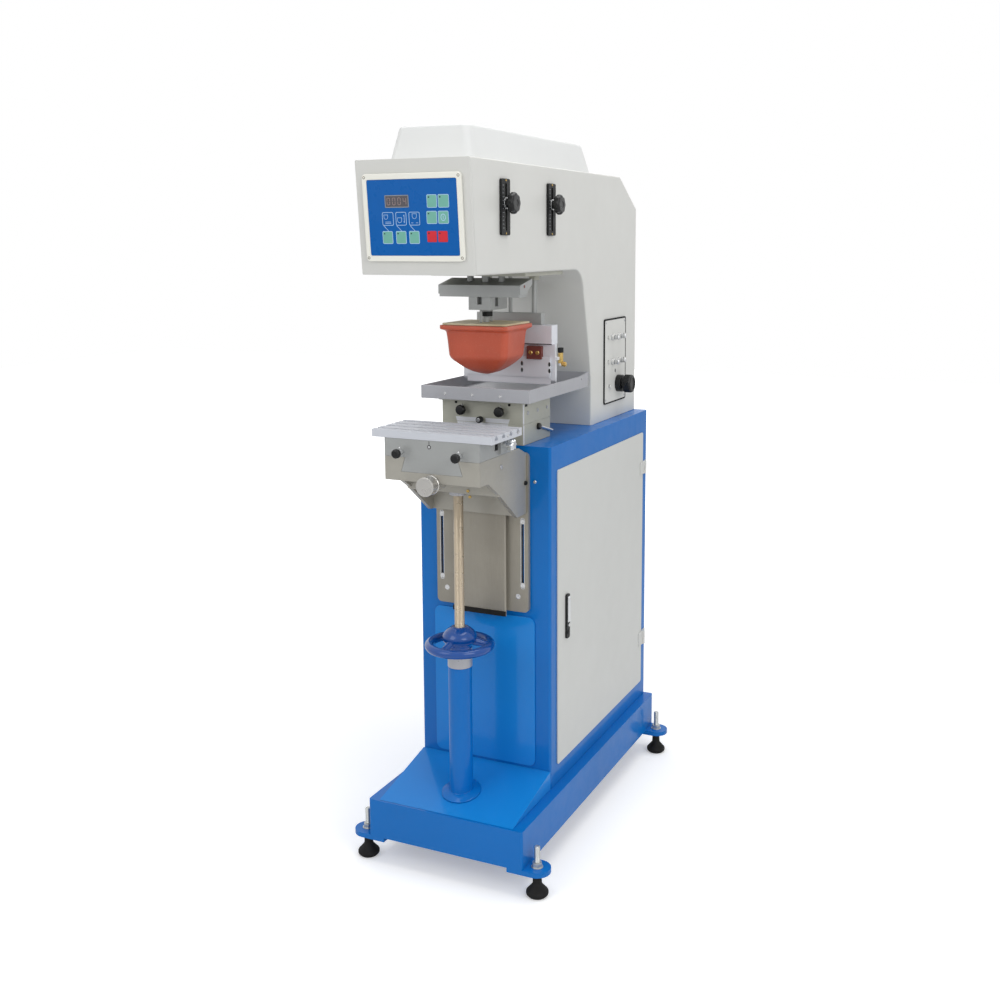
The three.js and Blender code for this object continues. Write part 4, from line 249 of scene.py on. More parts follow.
ZINC = metal("zinc_plate", rgb(196, 198, 196), rough=0.32, stain=0.12, metallic=0.8)
THREAD = metal("yellow_zinc_thread", rgb(196, 182, 160), rough=0.3, lines=(1, 1, 1), stain=0.05,
               metallic=0.6, pits=0.05)
BRASS = metal("brass", rgb(206, 176, 108), rough=0.25, stain=0.1, metallic=0.85)
BLACK = plastic("black_phenolic", rgb(14, 15, 16), rough=0.32, coat=0.15)
BLACK_MATT = plastic("black_anodised", rgb(16, 18, 19), rough=0.5)
RUBBER = plastic("black_foot_rubber", rgb(18, 17, 16), rough=0.7, grain=0.5, grain_scale=500)
GREY = plastic("grey_case_plastic", rgb(140, 143, 146), rough=0.55)
MEMBRANE = plastic("blue_key_film", rgb(0, 92, 170), rough=0.3, tint=0.02, grain=0.02, coat=0.15,
                   gloss=0.15)
DARK = plastic("dark_gap", rgb(20, 20, 22), rough=0.8)
MAROON = plastic("maroon_block", rgb(112, 58, 52), rough=0.5)
SILICONE = silicone("red_silicone", rgb(188, 80, 52), rgb(206, 132, 104))
PLYWOOD = wood("birch_plywood", rgb(222, 212, 180), rgb(172, 150, 108))
PALE = plastic("pale_print", rgb(176, 208, 236), rough=0.4, tint=0.04, grain=0.03)
TEAL = plastic("teal_key", rgb(112, 176, 160), rough=0.35, tint=0.05, grain=0.05, coat=0.3)
RED_KEY = plastic("red_key", rgb(206, 36, 50), rough=0.35, tint=0.05, grain=0.05, coat=0.3)
INK = plastic("dark_print", rgb(24, 30, 44), rough=0.5, tint=0.05, grain=0.03)
GLASS = plastic("display_window", rgb(74, 70, 76), rough=0.18, tint=0.05, grain=0.02, coat=0.8)
SEGMENT = plastic("display_segment", rgb(150, 130, 128), rough=0.4, tint=0.04, grain=0.02)


# Mesh parts: each helper returns (points in millimetres, faces)
def join(*parts):
    points, faces = [], []
    for p, f in parts:
        start = len(points)
        points.extend(p)
        faces.extend(tuple(i + start for i in face) for face in f)
    return points, faces


def turn(part, matrix):
    return [tuple(matrix @ Vector(p)) for p in part[0]], part[1]


def on_axis(axis, u, v, w):
    return {"x": (w, u, v), "y": (u, w, v), "z": (u, v, w)}[axis]


def soften(points, radius, steps=3, closed=False):
    """Rounds each corner by its radius, or all by one; a cut takes less than half its edge."""
    out = []
    count = len(points)
    for i, point in enumerate(points):
        reach = radius[i] if isinstance(radius, (list, tuple)) else radius
        if reach <= 0 or (not closed and i in (0, count - 1)):
            out.append(tuple(point))
            continue
        here = Vector(point)
        back = Vector(points[i - 1]) - here
        ahead = Vector(points[(i + 1) % count]) - here
        cut = min(reach, back.length * 0.48, ahead.length * 0.48)
        start = here + back.normalized() * cut
        end = here + ahead.normalized() * cut
        for k in range(steps + 1):
            t = k / steps
            out.append(tuple(start * (1 - t) ** 2 + here * (2 * t * (1 - t)) + end * t * t))
    return out


def lathe(profile, centre, axis="z", steps=48, wave=None):
    """Turns (radius, height) points about an axis through centre; wave(angle) scales the radius."""
    points, rings = [], []
    for radius, height in profile:
        count = 1 if radius < 1e-6 else steps
        ring = []
        for i in range(count):
            angle = 2 * math.pi * i / steps
            reach = radius * (wave(angle) if wave else 1)
            ring.append(len(points))
            offset = on_axis(axis, reach * math.cos(angle), reach * math.sin(angle), height)
            points.append(tuple(c + d for c, d in zip(centre, offset)))
        rings.append(ring)
    faces = []
    for low, high in zip(rings, rings[1:]):
        for i in range(steps):
            j = (i + 1) % steps
            a, b = low[i % len(low)], low[j % len(low)]
            c, d = high[j % len(high)], high[i % len(high)]
            face = tuple(dict.fromkeys((a, b, c, d)))
            if len(face) > 2:
                faces.append(face)
    return points, faces


def rod(radius, centre, axis, low, high, steps=32, edge=0.4):
    profile = soften([(0, low), (radius, low), (radius, high), (0, high)], edge, 2)
    return lathe(profile, centre, axis, steps)


def prism(outline, axis, low, high):
    count = len(outline)
    points = [on_axis(axis, u, v, height) for height in (low, high) for u, v in outline]
    faces = [tuple(range(count - 1, -1, -1)), tuple(range(count, 2 * count))]
    for i in range(count):
        j = (i + 1) % count
        faces.append((i, j, j + count, i + count))
    return points, faces


def rectangle(u0, u1, v0, v1, radius=0.0):
    corners = [(u0, v0), (u1, v0), (u1, v1), (u0, v1)]
    return soften(corners, radius, 4, True) if radius > 0 else corners


def ellipse(u, v, radius_u, radius_v, steps=24):
    angles = [2 * math.pi * i / steps for i in range(steps)]
    return [(u + radius_u * math.cos(a), v + radius_v * math.sin(a)) for a in angles]


def hexagon(u, v, radius):
    return ellipse(u, v, radius, radius, 6)


def box(x0, x1, y0, y1, z0, z1):
    return prism(rectangle(x0, x1, y0, y1), "z", z0, z1)


def disc(place, axis, radius_u, radius_v, low, high):
    part = prism(ellipse(0, 0, radius_u, radius_v), axis, low, high)
    return turn(part, Matrix.Translation(place))


def hoop(outer, inner, axis, low, high):
    """A flat frame between two outlines of as many points each."""
    count = len(outer)
    points = []
    for outline, height in ((outer, low), (inner, low), (outer, high), (inner, high)):
        points.extend(on_axis(axis, u, v, height) for u, v in outline)
    faces = []
    for i in range(count):
        j = (i + 1) % count
        faces.append((i, j, j + 2 * count, i + 2 * count))
        faces.append((i + count, i + 3 * count, j + 3 * count, j + count))
        faces.append((i, i + count, j + count, j))
        faces.append((i + 2 * count, j + 2 * count, j + 3 * count, i + 3 * count))
    return points, faces


def skin(rings):
    """A closed skin over rings of as many points each, lowest first."""
    count = len(rings[0])
    points = [p for ring in rings for p in ring]
    faces = [tuple(range(count - 1, -1, -1))]
    for level in range(len(rings) - 1):
        for i in range(count):
            a = level * count + i
            b = level * count + (i + 1) % count
            faces.append((a, b, b + count, a + count))
    last = (len(rings) - 1) * count
    faces.append(tuple(range(last, last + count)))
    return points, faces


RINGS_PER_PITCH = 6


def thread(radius, depth, pitch, starts, centre, low, high, steps):
    """A screw thread about a vertical axis, with its flanks as real geometry."""
    levels = max(2, int((high - low) / pitch * RINGS_PER_PITCH))
    rings = []
    for k in range(levels + 1):
        height = low + (high - low) * k / levels
        ring = []
        for i in range(steps):
            angle = 2 * math.pi * i / steps
            phase = (height / pitch - starts * i / steps) % 1.0
            reach = radius - depth * abs(2 * phase - 1)
            ring.append((centre[0] + reach * math.cos(angle), centre[1] + reach * math.sin(angle),
                         height))
        rings.append(ring)
    return skin(rings)


def lobed(count, depth):
    """A wave for lathe: count lobes around, each as deep as depth times the radius."""
    return lambda angle: 1 - depth + depth * math.cos(count * angle)


def screw_head(place, axis, sign, radius, height):
    """A small round head with a socket, proud of its face by height."""
    profile = [(0, height * 0.45), (radius * 0.45, height * 0.45), (radius * 0.5, height * 0.95),
               (radius * 0.8, height), (radius, height * 0.55), (radius, -0.3), (0, -0.3)]
    part = lathe([(r, sign * h) for r, h in profile], (0, 0, 0), axis, 20)
    return turn(part, Matrix.Translation(place))


# Objects
def add_object(name, data):
    obj = bpy.data.objects.new(name, data)
    bpy.context.scene.collection.objects.link(obj)
    return obj


def bake(obj):
    """Applies the object's modifiers to its mesh."""
    graph = bpy.context.evaluated_depsgraph_get()
    mesh = bpy.data.meshes.new_from_object(obj.evaluated_get(graph))
    old = obj.data
    obj.modifiers.clear()
    obj.data = mesh
    bpy.data.meshes.remove(old)


def settle(name, mesh, material, body, bevel, steps, stands_for, merge_flat):
    """Makes the piece: clean mesh, rounded edges, smooth faces, finish, body and slot."""
    bm = bmesh.new()
    bm.from_mesh(mesh)
    bmesh.ops.remove_doubles(bm, verts=bm.verts, dist=NEAR)
    if merge_flat:
        bmesh.ops.dissolve_limit(bm, angle_limit=FLAT, verts=bm.verts, edges=bm.edges)
    bmesh.ops.recalc_face_normals(bm, faces=bm.faces)
    bm.to_mesh(mesh)
    bm.free()
    obj = add_object(name, mesh)
    if bevel > 0:
        edge = obj.modifiers.new("edge", "BEVEL")
        edge.width = bevel * MM
        edge.segments = steps
        edge.limit_method = "ANGLE"
        edge.angle_limit = SHARP
        bake(obj)
    bm = bmesh.new()
    bm.from_mesh(obj.data)
    for face in bm.faces:
        face.smooth = True
    for edge in bm.edges:
        edge.smooth = len(edge.link_faces) != 2 or edge.calc_face_angle(0) < SHARP
    bm.to_mesh(obj.data)
    bm.free()
    weighted = obj.modifiers.new("normals", "WEIGHTED_NORMAL")
    weighted.keep_sharp = True
    bake(obj)
    obj.data.materials.clear()
    obj.data.materials.append(material)
    for polygon in obj.data.polygons:
        polygon.material_index = 0
    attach(obj, body)
    if stands_for:
        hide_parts(*stands_for)
    return obj


def piece(name, part, material, body, bevel=0.0, stands_for=()):
    mesh = bpy.data.meshes.new(name)
    mesh.from_pydata([tuple(at(*p)) for p in part[0]], [], part[1])
    return settle(name, mesh, material, body, bevel, 2, stands_for, False)


BODIES = frame["record"]["behaviour"]["bodies"]
BODY_OF = {node: body for body, members in BODIES.items() for node in members}


def dress(node, material, bevel=0.5, steps=2):
    """A finer copy of a CAD node, with rounded edges and a real finish, stands for the node."""
    mesh = frame["nodes"][node].data.copy()
    settle(node + "_finish", mesh, material, BODY_OF[node], bevel, steps, (node,),
           True)


def screws(name, places, axis, sign, radius, height, material, body):
    """Screw heads that share a finish, as one piece."""
    parts = [screw_head(place, axis, sign, radius, height) for place in places]
    piece(name, join(*parts), material, body)


# Casing, frames and slides
dress("base_frame", BLUE, 1.2, 3)
dress("slope_cover", BLUE_COVER, 0.8)
dress("cabinet_shell", BLUE, 0.6)
dress("front_cover", BLUE_COVER, 0.8)
dress("door_panel", DOOR_WHITE)
dress("hinge_lower", WHITE, 0.3)
dress("hinge_upper", WHITE, 0.3)
dress("lock_body", BLACK_MATT, 0.4)
dress("lock_lever", CHROME, 0.3)
dress("lock_button", BRIGHT, 0.3)
dress("head_housing", WHITE, 1.6, 3)
dress("top_cover", WHITE_COVER, 1.6, 3)
dress("control_bezel", WHITE_FRAME, 1.3, 3)
dress("membrane_panel", MEMBRANE, 0.3)
dress("scale_plate_front", BLACK_MATT)
dress("scale_plate_back", BLACK_MATT)
dress("pneumatic_panel", WHITE, 0.4)
dress("guide_plate", GUIDE, 0.8)
dress("knee_bracket", STEEL_WARM, 0.7)
dress("cross_slide", STEEL, 0.6)
dress("t_slot_table", ALUMINIUM, 0.6)
dress("screw_tube", BLUE, 0.8)
dress("thrust_collar", GROUND, 0.8)
dress("bed_base", STEEL_BED)
dress("bed_slide", STEEL_BED)
dress("ink_tray", GROUND, 0.6)
dress("cliche_plate", GROUND, 0.4)
dress("slide_frame", STEEL, 0.6)
dress("carriage_cylinder", ALUMINIUM)
dress("carriage", STEEL_BED, 0.6)
dress("pad_rail", STEEL, 0.6)
dress("pad_adaptor", STEEL, 0.4)
dress("pad_base", PLYWOOD, 0.4)
dress("scraper_bar", STEEL)
dress("scraper_holder", HOLDER)
dress("doctor_blade", HOLDER, 0.2)
dress("control_box", GREY, 1.5, 3)
dress("valve_manifold", ALUMINIUM)
dress("service_plate", BLACK_MATT)


# Levelling feet: a rubber cone, a threaded stud and a chamfered lock nut
FOOT_X = 197
for name, x, y in (("foot_front_left", -FOOT_X, 28), ("foot_front_right", FOOT_X, 28),
                   ("foot_back_left", -FOOT_X, 770), ("foot_back_right", FOOT_X, 770)):
    cone = soften([(0, 0), (18, 0), (22.8, 5), (22.8, 11), (17.5, 16.5), (9.5, 26), (8.8, 46.8),
                   (0, 46.8)], [0, 1, 2, 2, 3, 3, 1.2, 0])
    piece(name + "_cone", lathe(cone, (x, y, 0)), RUBBER, name, stands_for=(name,))
    stud = thread(5.9, 0.75, 1.75, 1, (x, y), 46.5, 104, 28)
    tip = lathe([(0, 104), (5.0, 104), (4.2, 105), (0, 105)], (x, y, 0), steps=28)
    piece(name + "_stud", join(stud, tip), ZINC, name)
    nut = prism(hexagon(x, y, 10.4), "z", 61.4, 71.2)
    piece(name + "_nut", nut, ZINC, name, bevel=0.8)
    washer = soften([(6.2, 61.05), (12, 61.05), (12, 62.4), (6.2, 62.4)], 0.3)
    piece(name + "_washer", lathe(washer, (x, y, 0)), ZINC, name)


# Lead screw with its four-start thread, and its collar under the knee's bridge
SCREW_AXIS = (0, SCREW_Y, 0)
screw = thread(10.5, 1.0, 2.5, 4, (0, SCREW_Y), 443, 790, 40)
shank = rod(9.9, SCREW_AXIS, "z", 354.2, 443)
piece("lead_screw_thread", join(screw, shank), THREAD, "knee",
      stands_for=("lead_screw",))
collar = soften([(0, 790.2), (17.8, 790.2), (17.8, 797.5), (0, 797.5)], 0.8)
journal = rod(9.8, SCREW_AXIS, "z", 797, 819.8)
piece("lead_screw_collar", join(lathe(collar, SCREW_AXIS), journal), GROUND, "knee")


# Handwheel: a thick round rim under a domed hub, with three spokes that run down to it
def handwheel():
    rim_radius, rim_height, rim_half = 62.8, 476, 9.1
    rim = ellipse(rim_radius, rim_height, rim_half, rim_half, 28)
    hub = soften([(11.5, 470.4), (25.3, 470.4), (25.3, 476), (35.4, 486), (35.4, 496.6),
                  (29, 506.6), (17, 514.8), (11.5, 514.8), (11.5, 470.4)],
                 [0, 1, 4, 3, 3, 7, 5, 0.5, 0], 5)
    parts = [lathe(rim + rim[:1], SCREW_AXIS, steps=96), lathe(hub, SCREW_AXIS, steps=64)]
    root, rise = 17.75, 11
    run = rim_radius - root
    reach = math.hypot(run, rise)
    profile = soften([(0, 0), (9.6, 0), (8.8, 0.35 * reach), (6.9, 0.62 * reach),
                      (6.7, 0.8 * reach), (9, reach), (0, reach)], [0, 0, 8, 8, 5, 0, 0], 4)
    spoke = turn(lathe(profile, (0, 0, 0), "x", 28), Matrix.Translation((root, 0, 0))
                 @ Matrix.Rotation(math.atan2(rise, run), 4, "Y"))
    middle = Matrix.Translation((0, SCREW_Y, rim_height + rise))
    for k in range(3):
        angle = math.radians(260 + 120 * k)
        parts.append(turn(spoke, middle @ Matrix.Rotation(angle, 4, "Z")))
    return join(*parts)


piece("handwheel_cast", handwheel(), BLUE_WHEEL, "handwheel",
      stands_for=("handwheel",))


# Silicone pad: flange, drafted body and a crowned hip, as a skin over rounded outlines
PAD_PROFILE = [  # height, half width, half depth, corner radius
    (1021.0, 2.0, 1.5, 0.6), (1022.2, 8.8, 6.4, 3.0), (1026.6, 24.0, 17.5, 7.0),
    (1034.0, 38.5, 28.2, 10.0), (1043.8, 51.8, 38.0, 13.0), (1053.4, 62.2, 45.8, 14.0),
    (1060.0, 66.2, 48.8, 14.0), (1068.0, 67.4, 49.6, 13.5), (1090.0, 69.2, 50.6, 13.0),
    (1104.0, 70.6, 51.6, 12.5), (1111.0, 71.6, 52.8, 12.0), (1114.0, 73.4, 56.5, 11.0),
    (1116.2, 76.0, 64.0, 9.5), (1118.0, 77.0, 66.0, 8.5), (1123.4, 77.0, 66.0, 8.0),
    (1125.0, 76.2, 65.2, 7.6),
]


def pad_ring(height, half_x, half_y, radius, steps=8):
    points = []
    for corner, (sx, sy) in enumerate(((1, -1), (1, 1), (-1, 1), (-1, -1))):
        for k in range(steps + 1):
            angle = math.pi / 2 * (corner - 1 + k / steps)
            x = sx * (half_x - radius) + radius * math.cos(angle)
            y = sy * (half_y - radius) + radius * math.sin(angle)
            points.append((x, PAD_Y + y, height))
    return points


def smooth_profile(profile, steps=4):
    """The given rows with steps - 1 more between each two, on a smooth curve through them."""
    rows = []
    for i in range(len(profile) - 1):
        before = profile[max(i - 1, 0)]
        after = profile[min(i + 2, len(profile) - 1)]
        for k in range(steps):
            t = k / steps
            rows.append([0.5 * (2 * b + (c - a) * t + (2 * a - 5 * b + 4 * c - d) * t * t
                                + (3 * b - a - 3 * c + d) * t ** 3)
                         for a, b, c, d in zip(before, profile[i], profile[i + 1], after)])
    rows.append(profile[-1])
    return rows


pad = piece("silicone_pad_body", skin([pad_ring(*row) for row in smooth_profile(PAD_PROFILE)]),
            SILICONE, "pad_head", stands_for=("silicone_pad",))


# Knobs of the stroke scales, with a square nut behind each slot
STROKE_KNOB_Z = {"front": 1365.7, "back": 1368.5}
for side, y in SCALES:
    name = "stroke_knob_" + side
    z = STROKE_KNOB_Z[side]
    centre = (SCALE_SIDE, y, z)
    grip = soften([(0, 9.6), (18.2, 9.6), (20.4, 12), (20.4, 19.5), (17, 22.8), (7, 22.8),
                   (6, 21.8), (0, 21.8)], [0, 1.5, 2, 3, 3, 1, 1, 0])
    piece(name + "_grip", lathe(grip, centre, "x", 96, lobed(8, 0.045)), BLACK, name,
          stands_for=(name,))
    hub = soften([(0, 2.6), (8.8, 2.6), (8.8, 9.8), (0, 9.8)], 0.5)
    piece(name + "_hub", lathe(hub, centre, "x"), BLACK, name)
    washer = soften([(0, 0.35), (11.2, 0.35), (11.2, 2.4), (0, 2.4)], 0.5)
    piece(name + "_washer", lathe(washer, centre, "x"), BRIGHT, name)
    nut = prism(rectangle(y - 6.8, y + 6.8, z - 6.8, z + 6.8), "x", SCALE_SIDE - 4.4,
                SCALE_SIDE - 2.4)
    piece(name + "_nut", join(rod(3.5, centre, "x", -3, 1), nut), GROUND, name)

# Knobs of the pneumatic panel
for number, (y, z) in enumerate(VALVES, 1):
    name = "flow_knob_%d" % number
    centre = (132.0, y, z)
    grip = soften([(0, 0.5), (5.3, 0.5), (5.3, 9.4), (4.2, 10.8), (0, 10.8)], [0, 0.6, 1, 0.8, 0])
    stem = rod(2.4, centre, "x", -4.8, 1)
    piece(name + "_grip", join(lathe(grip, centre, "x", 64, lobed(16, 0.03)), stem), BRIGHT, name,
          stands_for=(name,))

centre = (142.0, REGULATOR_Y, REGULATOR_Z)
grip = soften([(0, 0.4), (20.4, 0.4), (21.4, 2), (21.4, 17), (19, 20.8), (15, 20.8), (14.6, 18.6),
               (0, 18.6)], [0, 1, 1.5, 3, 2, 0.8, 0.8, 0])
stem = rod(4.9, centre, "x", -8.8, 1)
piece("regulator_knob_grip", join(lathe(grip, centre, "x", 144, lobed(36, 0.018)), stem), BLACK,
      "regulator_knob", stands_for=("regulator_knob",))

# Knobs of the table's two slides, each on its screw
centre = (0, 0, 830.5)
grip = soften([(0, -27.4), (19, -27.4), (19, -31), (17.6, -32.4), (17.6, -49.5), (19, -51),
               (19, -55.2), (0, -55.2)], [0, 1, 0.6, 0.6, 0.6, 0.6, 1.4, 0])
stem = rod(5.9, centre, "y", -28, 127.8)
piece("cross_knob_turned", join(lathe(grip, centre, "y", 72), stem), TURNED, "cross_knob",
      stands_for=("cross_knob",))

centre = (111.0, 66, 903)
grip = soften([(0, 8.3), (10.5, 8.3), (12.4, 11), (12.4, 19), (10, 23), (4, 23.2), (0, 23.2)],
              [0, 1.5, 2, 3, 2, 1, 0])
star = [lathe(grip, centre, "x", 96, lobed(6, 0.14)), rod(6.8, centre, "x", 0.4, 9),
        rod(4.9, centre, "x", -170.5, 1)]
piece("star_knob_cast", join(*star), CHROME, "star_knob", stands_for=("star_knob",))


def clamp_knob(name, x, y, z, radius, hub):
    """A black knob on a bright hub of that length, with a short lever on top."""
    front = y - 0.3 - hub
    centre = (x, 0, z)
    grip = soften([(0, front), (radius * 0.7, front), (radius, front - 1), (radius, front - 7.5),
                   (radius - 2, front - 10), (0, front - 10)], [0, 0.8, 1, 2, 1.5, 0])
    piece(name + "_disc", lathe(grip, centre, "y", 64, lobed(12, 0.02)), BLACK, name,
          stands_for=(name,))
    core = soften([(0, front - 0.5), (4.9, front - 0.5), (4.9, y - 0.35), (0, y - 0.35)], 0.7)
    shaft = rod(3.9, centre, "y", y - 1, y + 15.8)
    lever = soften([(0, 0), (1.7, 0), (1.9, 10), (0, 13)], [0, 0, 1, 0])
    piece(name + "_hub", join(lathe(core, centre, "y"), shaft,
                              lathe(lever, (x, front + hub / 2, z), "z", 20)),
          BRIGHT, name)


for side, sign in SIDES:
    clamp_knob("table_clamp_" + side, sign * 64.5, CROSS_FRONT, 890, 9.4, 18)
for side, sign in SIDES:
    clamp_knob("bed_clamp_" + side, sign * 44.5, BED_FRONT, 947, 10.9, 9)

centre = (0, 0, 929)
grip = soften([(4.4, 172.4), (5.6, 172.3), (6.9, 174), (6.9, 184), (0, 184)], [0, 0.8, 1, 0.6, 0])
piece("bed_knob_grip", lathe(grip, centre, "y", 64, lobed(20, 0.03)), BLACK_MATT, "bed_knob",
      stands_for=("bed_knob",))
stem = join(rod(4.4, centre, "y", 171.9, 183), rod(3.7, centre, "y", 183, 275.8))
piece("bed_knob_screw", stem, BRIGHT, "bed_knob")


# Control panel: keys, display and pictograms on the film, in the tilted frame of the head's front
TILT = math.atan(18.6 / 211.5)
PANEL = Matrix.Translation((0, -67.7, 1233)) @ Matrix.Rotation(TILT, 4, "X")
FILM = -5.9

# Layers over the film, each from its lower to its upper face
KEY = (0.02, 0.34)
KEY_RIM = (0.01, 0.22)
PRINT = (0.01, 0.2)
KEY_DOT = (0.3, 0.4)
KEY_SIGN = (0.3, 0.42)
WINDOW = (0.02, 0.5)
WINDOW_RIM = (0.02, 0.7)
DIGIT = (0.48, 0.56)


def on_film(outline, layer):
    return turn(prism(outline, "y", FILM - layer[1], FILM - layer[0]), PANEL)


def film_hoop(outer, inner, layer):
    return turn(hoop(outer, inner, "y", FILM - layer[1], FILM - layer[0]), PANEL)


def film_frame(area, radius, line, layer):
    """A line of that width inside the rim of area, which is (x0, x1, z0, z1)."""
    x0, x1, z0, z1 = area
    inner = rectangle(x0 + line, x1 - line, z0 + line, z1 - line, max(radius - line, 0.3))
    return film_hoop(rectangle(*area, radius), inner, layer)


def key_cap(area, gap):
    x0, x1, z0, z1 = area
    return on_film(rectangle(x0 + gap, x1 - gap, z0 + gap, z1 - gap, 2), KEY)


def stroke(x0, z0, x1, z1, width=0.8, layer=PRINT):
    """A printed line, a little longer than its two ends so that corners close."""
    along = Vector((x1 - x0, z1 - z0)).normalized() * 0.2
    across = Vector((-along.y, along.x)).normalized() * width / 2
    start, end = Vector((x0, z0)) - along, Vector((x1, z1)) + along
    corners = (start - across, end - across, end + across, start + across)
    return on_film([tuple(corner) for corner in corners], layer)


def cup(x, z, width, height):
    """The outline of a small bowl, as on the machine's pictograms."""
    half, sag = width / 2, height * 0.45
    rim = [(x - half, z + height)]
    for angle in range(180, 361, 30):
        a = math.radians(angle)
        rim.append((x + half * math.cos(a), z + sag + sag * math.sin(a)))
    rim.append((x + half, z + height))
    rim.append(rim[0])
    return [stroke(*p, *q, width=0.7) for p, q in zip(rim, rim[1:])]


def digit(x, z, width, height, lit):
    """A seven-segment figure of the segments in lit, with a gap at the ends of each."""
    half = height / 2
    ends = {
        "a": (x, z + height, x + width, z + height),
        "b": (x + width, z + half, x + width, z + height),
        "c": (x + width, z, x + width, z + half),
        "d": (x, z, x + width, z),
        "e": (x, z, x, z + half),
        "f": (x, z + half, x, z + height),
        "g": (x, z + half, x + width, z + half),
    }
    out = []
    for segment in lit:
        x0, z0, x1, z1 = ends[segment]
        step = Vector((x1 - x0, z1 - z0)).normalized() * 0.7
        out.append(stroke(x0 + step.x, z0 + step.y, x1 - step.x, z1 - step.y, 1.1, DIGIT))
    return out


# Areas on the film as (x0, x1, z0, z1); the fourth key has a round sign and no dot
keys = [(31.6, 52.4, 123.3, 147), (54.7, 77.2, 123.3, 147), (29.6, 51.0, 94.3, 117.5),
        (53.4, 75.0, 94.3, 117.5), (-65.7, -43.8, 58.4, 81.8), (-36.8, -15.1, 58.4, 81.8),
        (-8.8, 12.6, 58.4, 81.8)]
red_keys = [(28.1, 49.0, 60.9, 82), (50.9, 71.6, 60.9, 82)]
pictograms = [(-64.3, -40.3, 92, 116.3), (-35.6, -13, 92, 116.3), (-7.7, 15.2, 92, 116.3)]
piece("panel_keys", join(*[key_cap(area, 1) for area in keys]), TEAL, "frame")
piece("panel_red_keys", join(*[key_cap(area, 0.6) for area in red_keys]), RED_KEY, "frame")

lines = [film_frame(area, 3, 1.1, KEY_RIM) for area in keys]
lines += [film_frame(area, 3.4, 0.9, PRINT) for area in pictograms]
lines += cup(-56.5, 103.5, 8, 8) + cup(-27.5, 97, 9, 9) + cup(4, 104, 9, 9)
lines += [stroke(*ends) for ends in (
    (-62.1, 91.9, -51.7, 81.5), (-34.2, 91.7, -23.9, 81.3), (-5.8, 91.5, 4.5, 81.2),
    (-58, 96, -46, 96), (-58, 98.5, -46, 98.5),
    (-17.5, 97, -17.5, 111), (-18.8, 109, -17.5, 111), (-18.8, 99, -17.5, 97),
    (-3, 96.5, 1, 96.5), (7, 96.5, 11, 96.5),
)]
piece("panel_lines", join(*lines), PALE, "frame")

dots = [on_film(rectangle(x0 + 3, x0 + 6, z1 - 6, z1 - 3.4, 1.2), KEY_DOT)
        for x0, x1, z0, z1 in keys[:3] + keys[4:] + red_keys]
piece("panel_key_dots", join(*dots), INK, "frame")
sign = film_hoop(ellipse(63.9, 105.9, 5.2, 6.4), ellipse(63.9, 105.9, 4.1, 5.3), KEY_SIGN)
piece("panel_round_symbol", join(sign, stroke(63.9, 103, 63.9, 109, 0.9, KEY_SIGN)), PALE,
      "frame")
piece("panel_display", on_film(rectangle(-55, -7.5, 125.9, 145.7, 0.8), WINDOW), GLASS, "frame")
piece("panel_display_frame", film_frame((-56.4, -6.1, 124.5, 147.1), 1.6, 1.5, WINDOW_RIM), GREY,
      "frame")
figures = []
for column, lit in enumerate(("abcdef", "abcdef", "abcdef", "fgbc")):
    figures += digit(-51.5 + 11.4 * column, 129.6, 5.6, 12.4, lit)
piece("panel_digits", join(*figures), SEGMENT, "frame")
corners = [turn(screw_head((x, FILM - 0.1, z), "y", -1, 3.0, 0.5), PANEL)
           for z in (32.5, 180) for x in (-98.5, 98.5)]
piece("panel_screws", join(*corners), GUIDE, "frame")


# Screws of the tray, the bed, the knee and the cabinet's front
screws("tray_screws", [(x, 155.2, 983) for x in (-67.7, -4.7, 59.1)], "y", -1, 3.2, 1.0, BRIGHT,
       "bed")
screws("bed_screws", [(x, BED_FRONT, 961) for x in (-62, 62)], "y", -1, 2.8, 1.8, BLACK_MATT,
       "bed")
screws("bridge_screws", [(34.6, 58, 804.5), (38.9, 58, 793)], "y", -1, 3.2, 2.2, BRASS, "knee")
screws("knee_side_bolt", [(KNEE_SIDE, 65.7, 856.9)], "x", 1, 4.6, 2.4, GROUND, "knee")
screws("knee_side_screw", [(KNEE_SIDE, 177, 804)], "x", 1, 4.6, 4.5, BLACK_MATT, "knee")
screws("post_screw", [(119.3, 193.4, 804.2)], "y", -1, 3.4, 1.6, BRIGHT, "frame")
screws("guide_bolts", [(x, GUIDE_FRONT, 559) for x in (-84, 84)], "y", -1, 5.6, 0.22, BRIGHT,
       "frame")

# Guide plate: bolts in its two long slots, bright slot rims, and a dark strip under the rail as
# painted shade of the rail's underside
SLOT_X = 95
screws("slot_bolts", [(x, GUIDE_FRONT, z) for x in (-SLOT_X, SLOT_X) for z in (584, 720)], "y",
       -1, 5.4, 0.22, BRIGHT, "frame")
for side, sign in SIDES:
    x = sign * SLOT_X
    rim = hoop(rectangle(x - 4.6, x + 4.6, 576, 728, 4.5),
               rectangle(x - 3.3, x + 3.3, 577.3, 726.7, 3.2), "y", GUIDE_FRONT - 0.2,
               GUIDE_FRONT + 0.1)
    piece("guide_slot_rim_" + side, rim, BRIGHT, "frame")
# Painted shade: a dark strip, in the feet's black rubber finish, where the rail's underside lies in
# shadow
piece("guide_rail_underside_shade", prism(rectangle(-62.2, 62.2, 516.8, 527.5, 1.0), "y", 168.2, 170.6), RUBBER,
      "frame", bevel=0.4)

# Index mark on the cross slide
mark = (-4.3, CROSS_FRONT, 903.5)
pointer = box(-4.8, -3.8, CROSS_FRONT - 0.25, CROSS_FRONT + 0.1, 907, 915)
piece("index_mark", join(disc(mark, "y", 4.0, 4.0, -0.25, 0.1), pointer), BLACK_MATT,
      "cross_slide")
piece("index_mark_centre", disc(mark, "y", 2.7, 2.7, -0.4, 0.1), BRIGHT, "cross_slide")
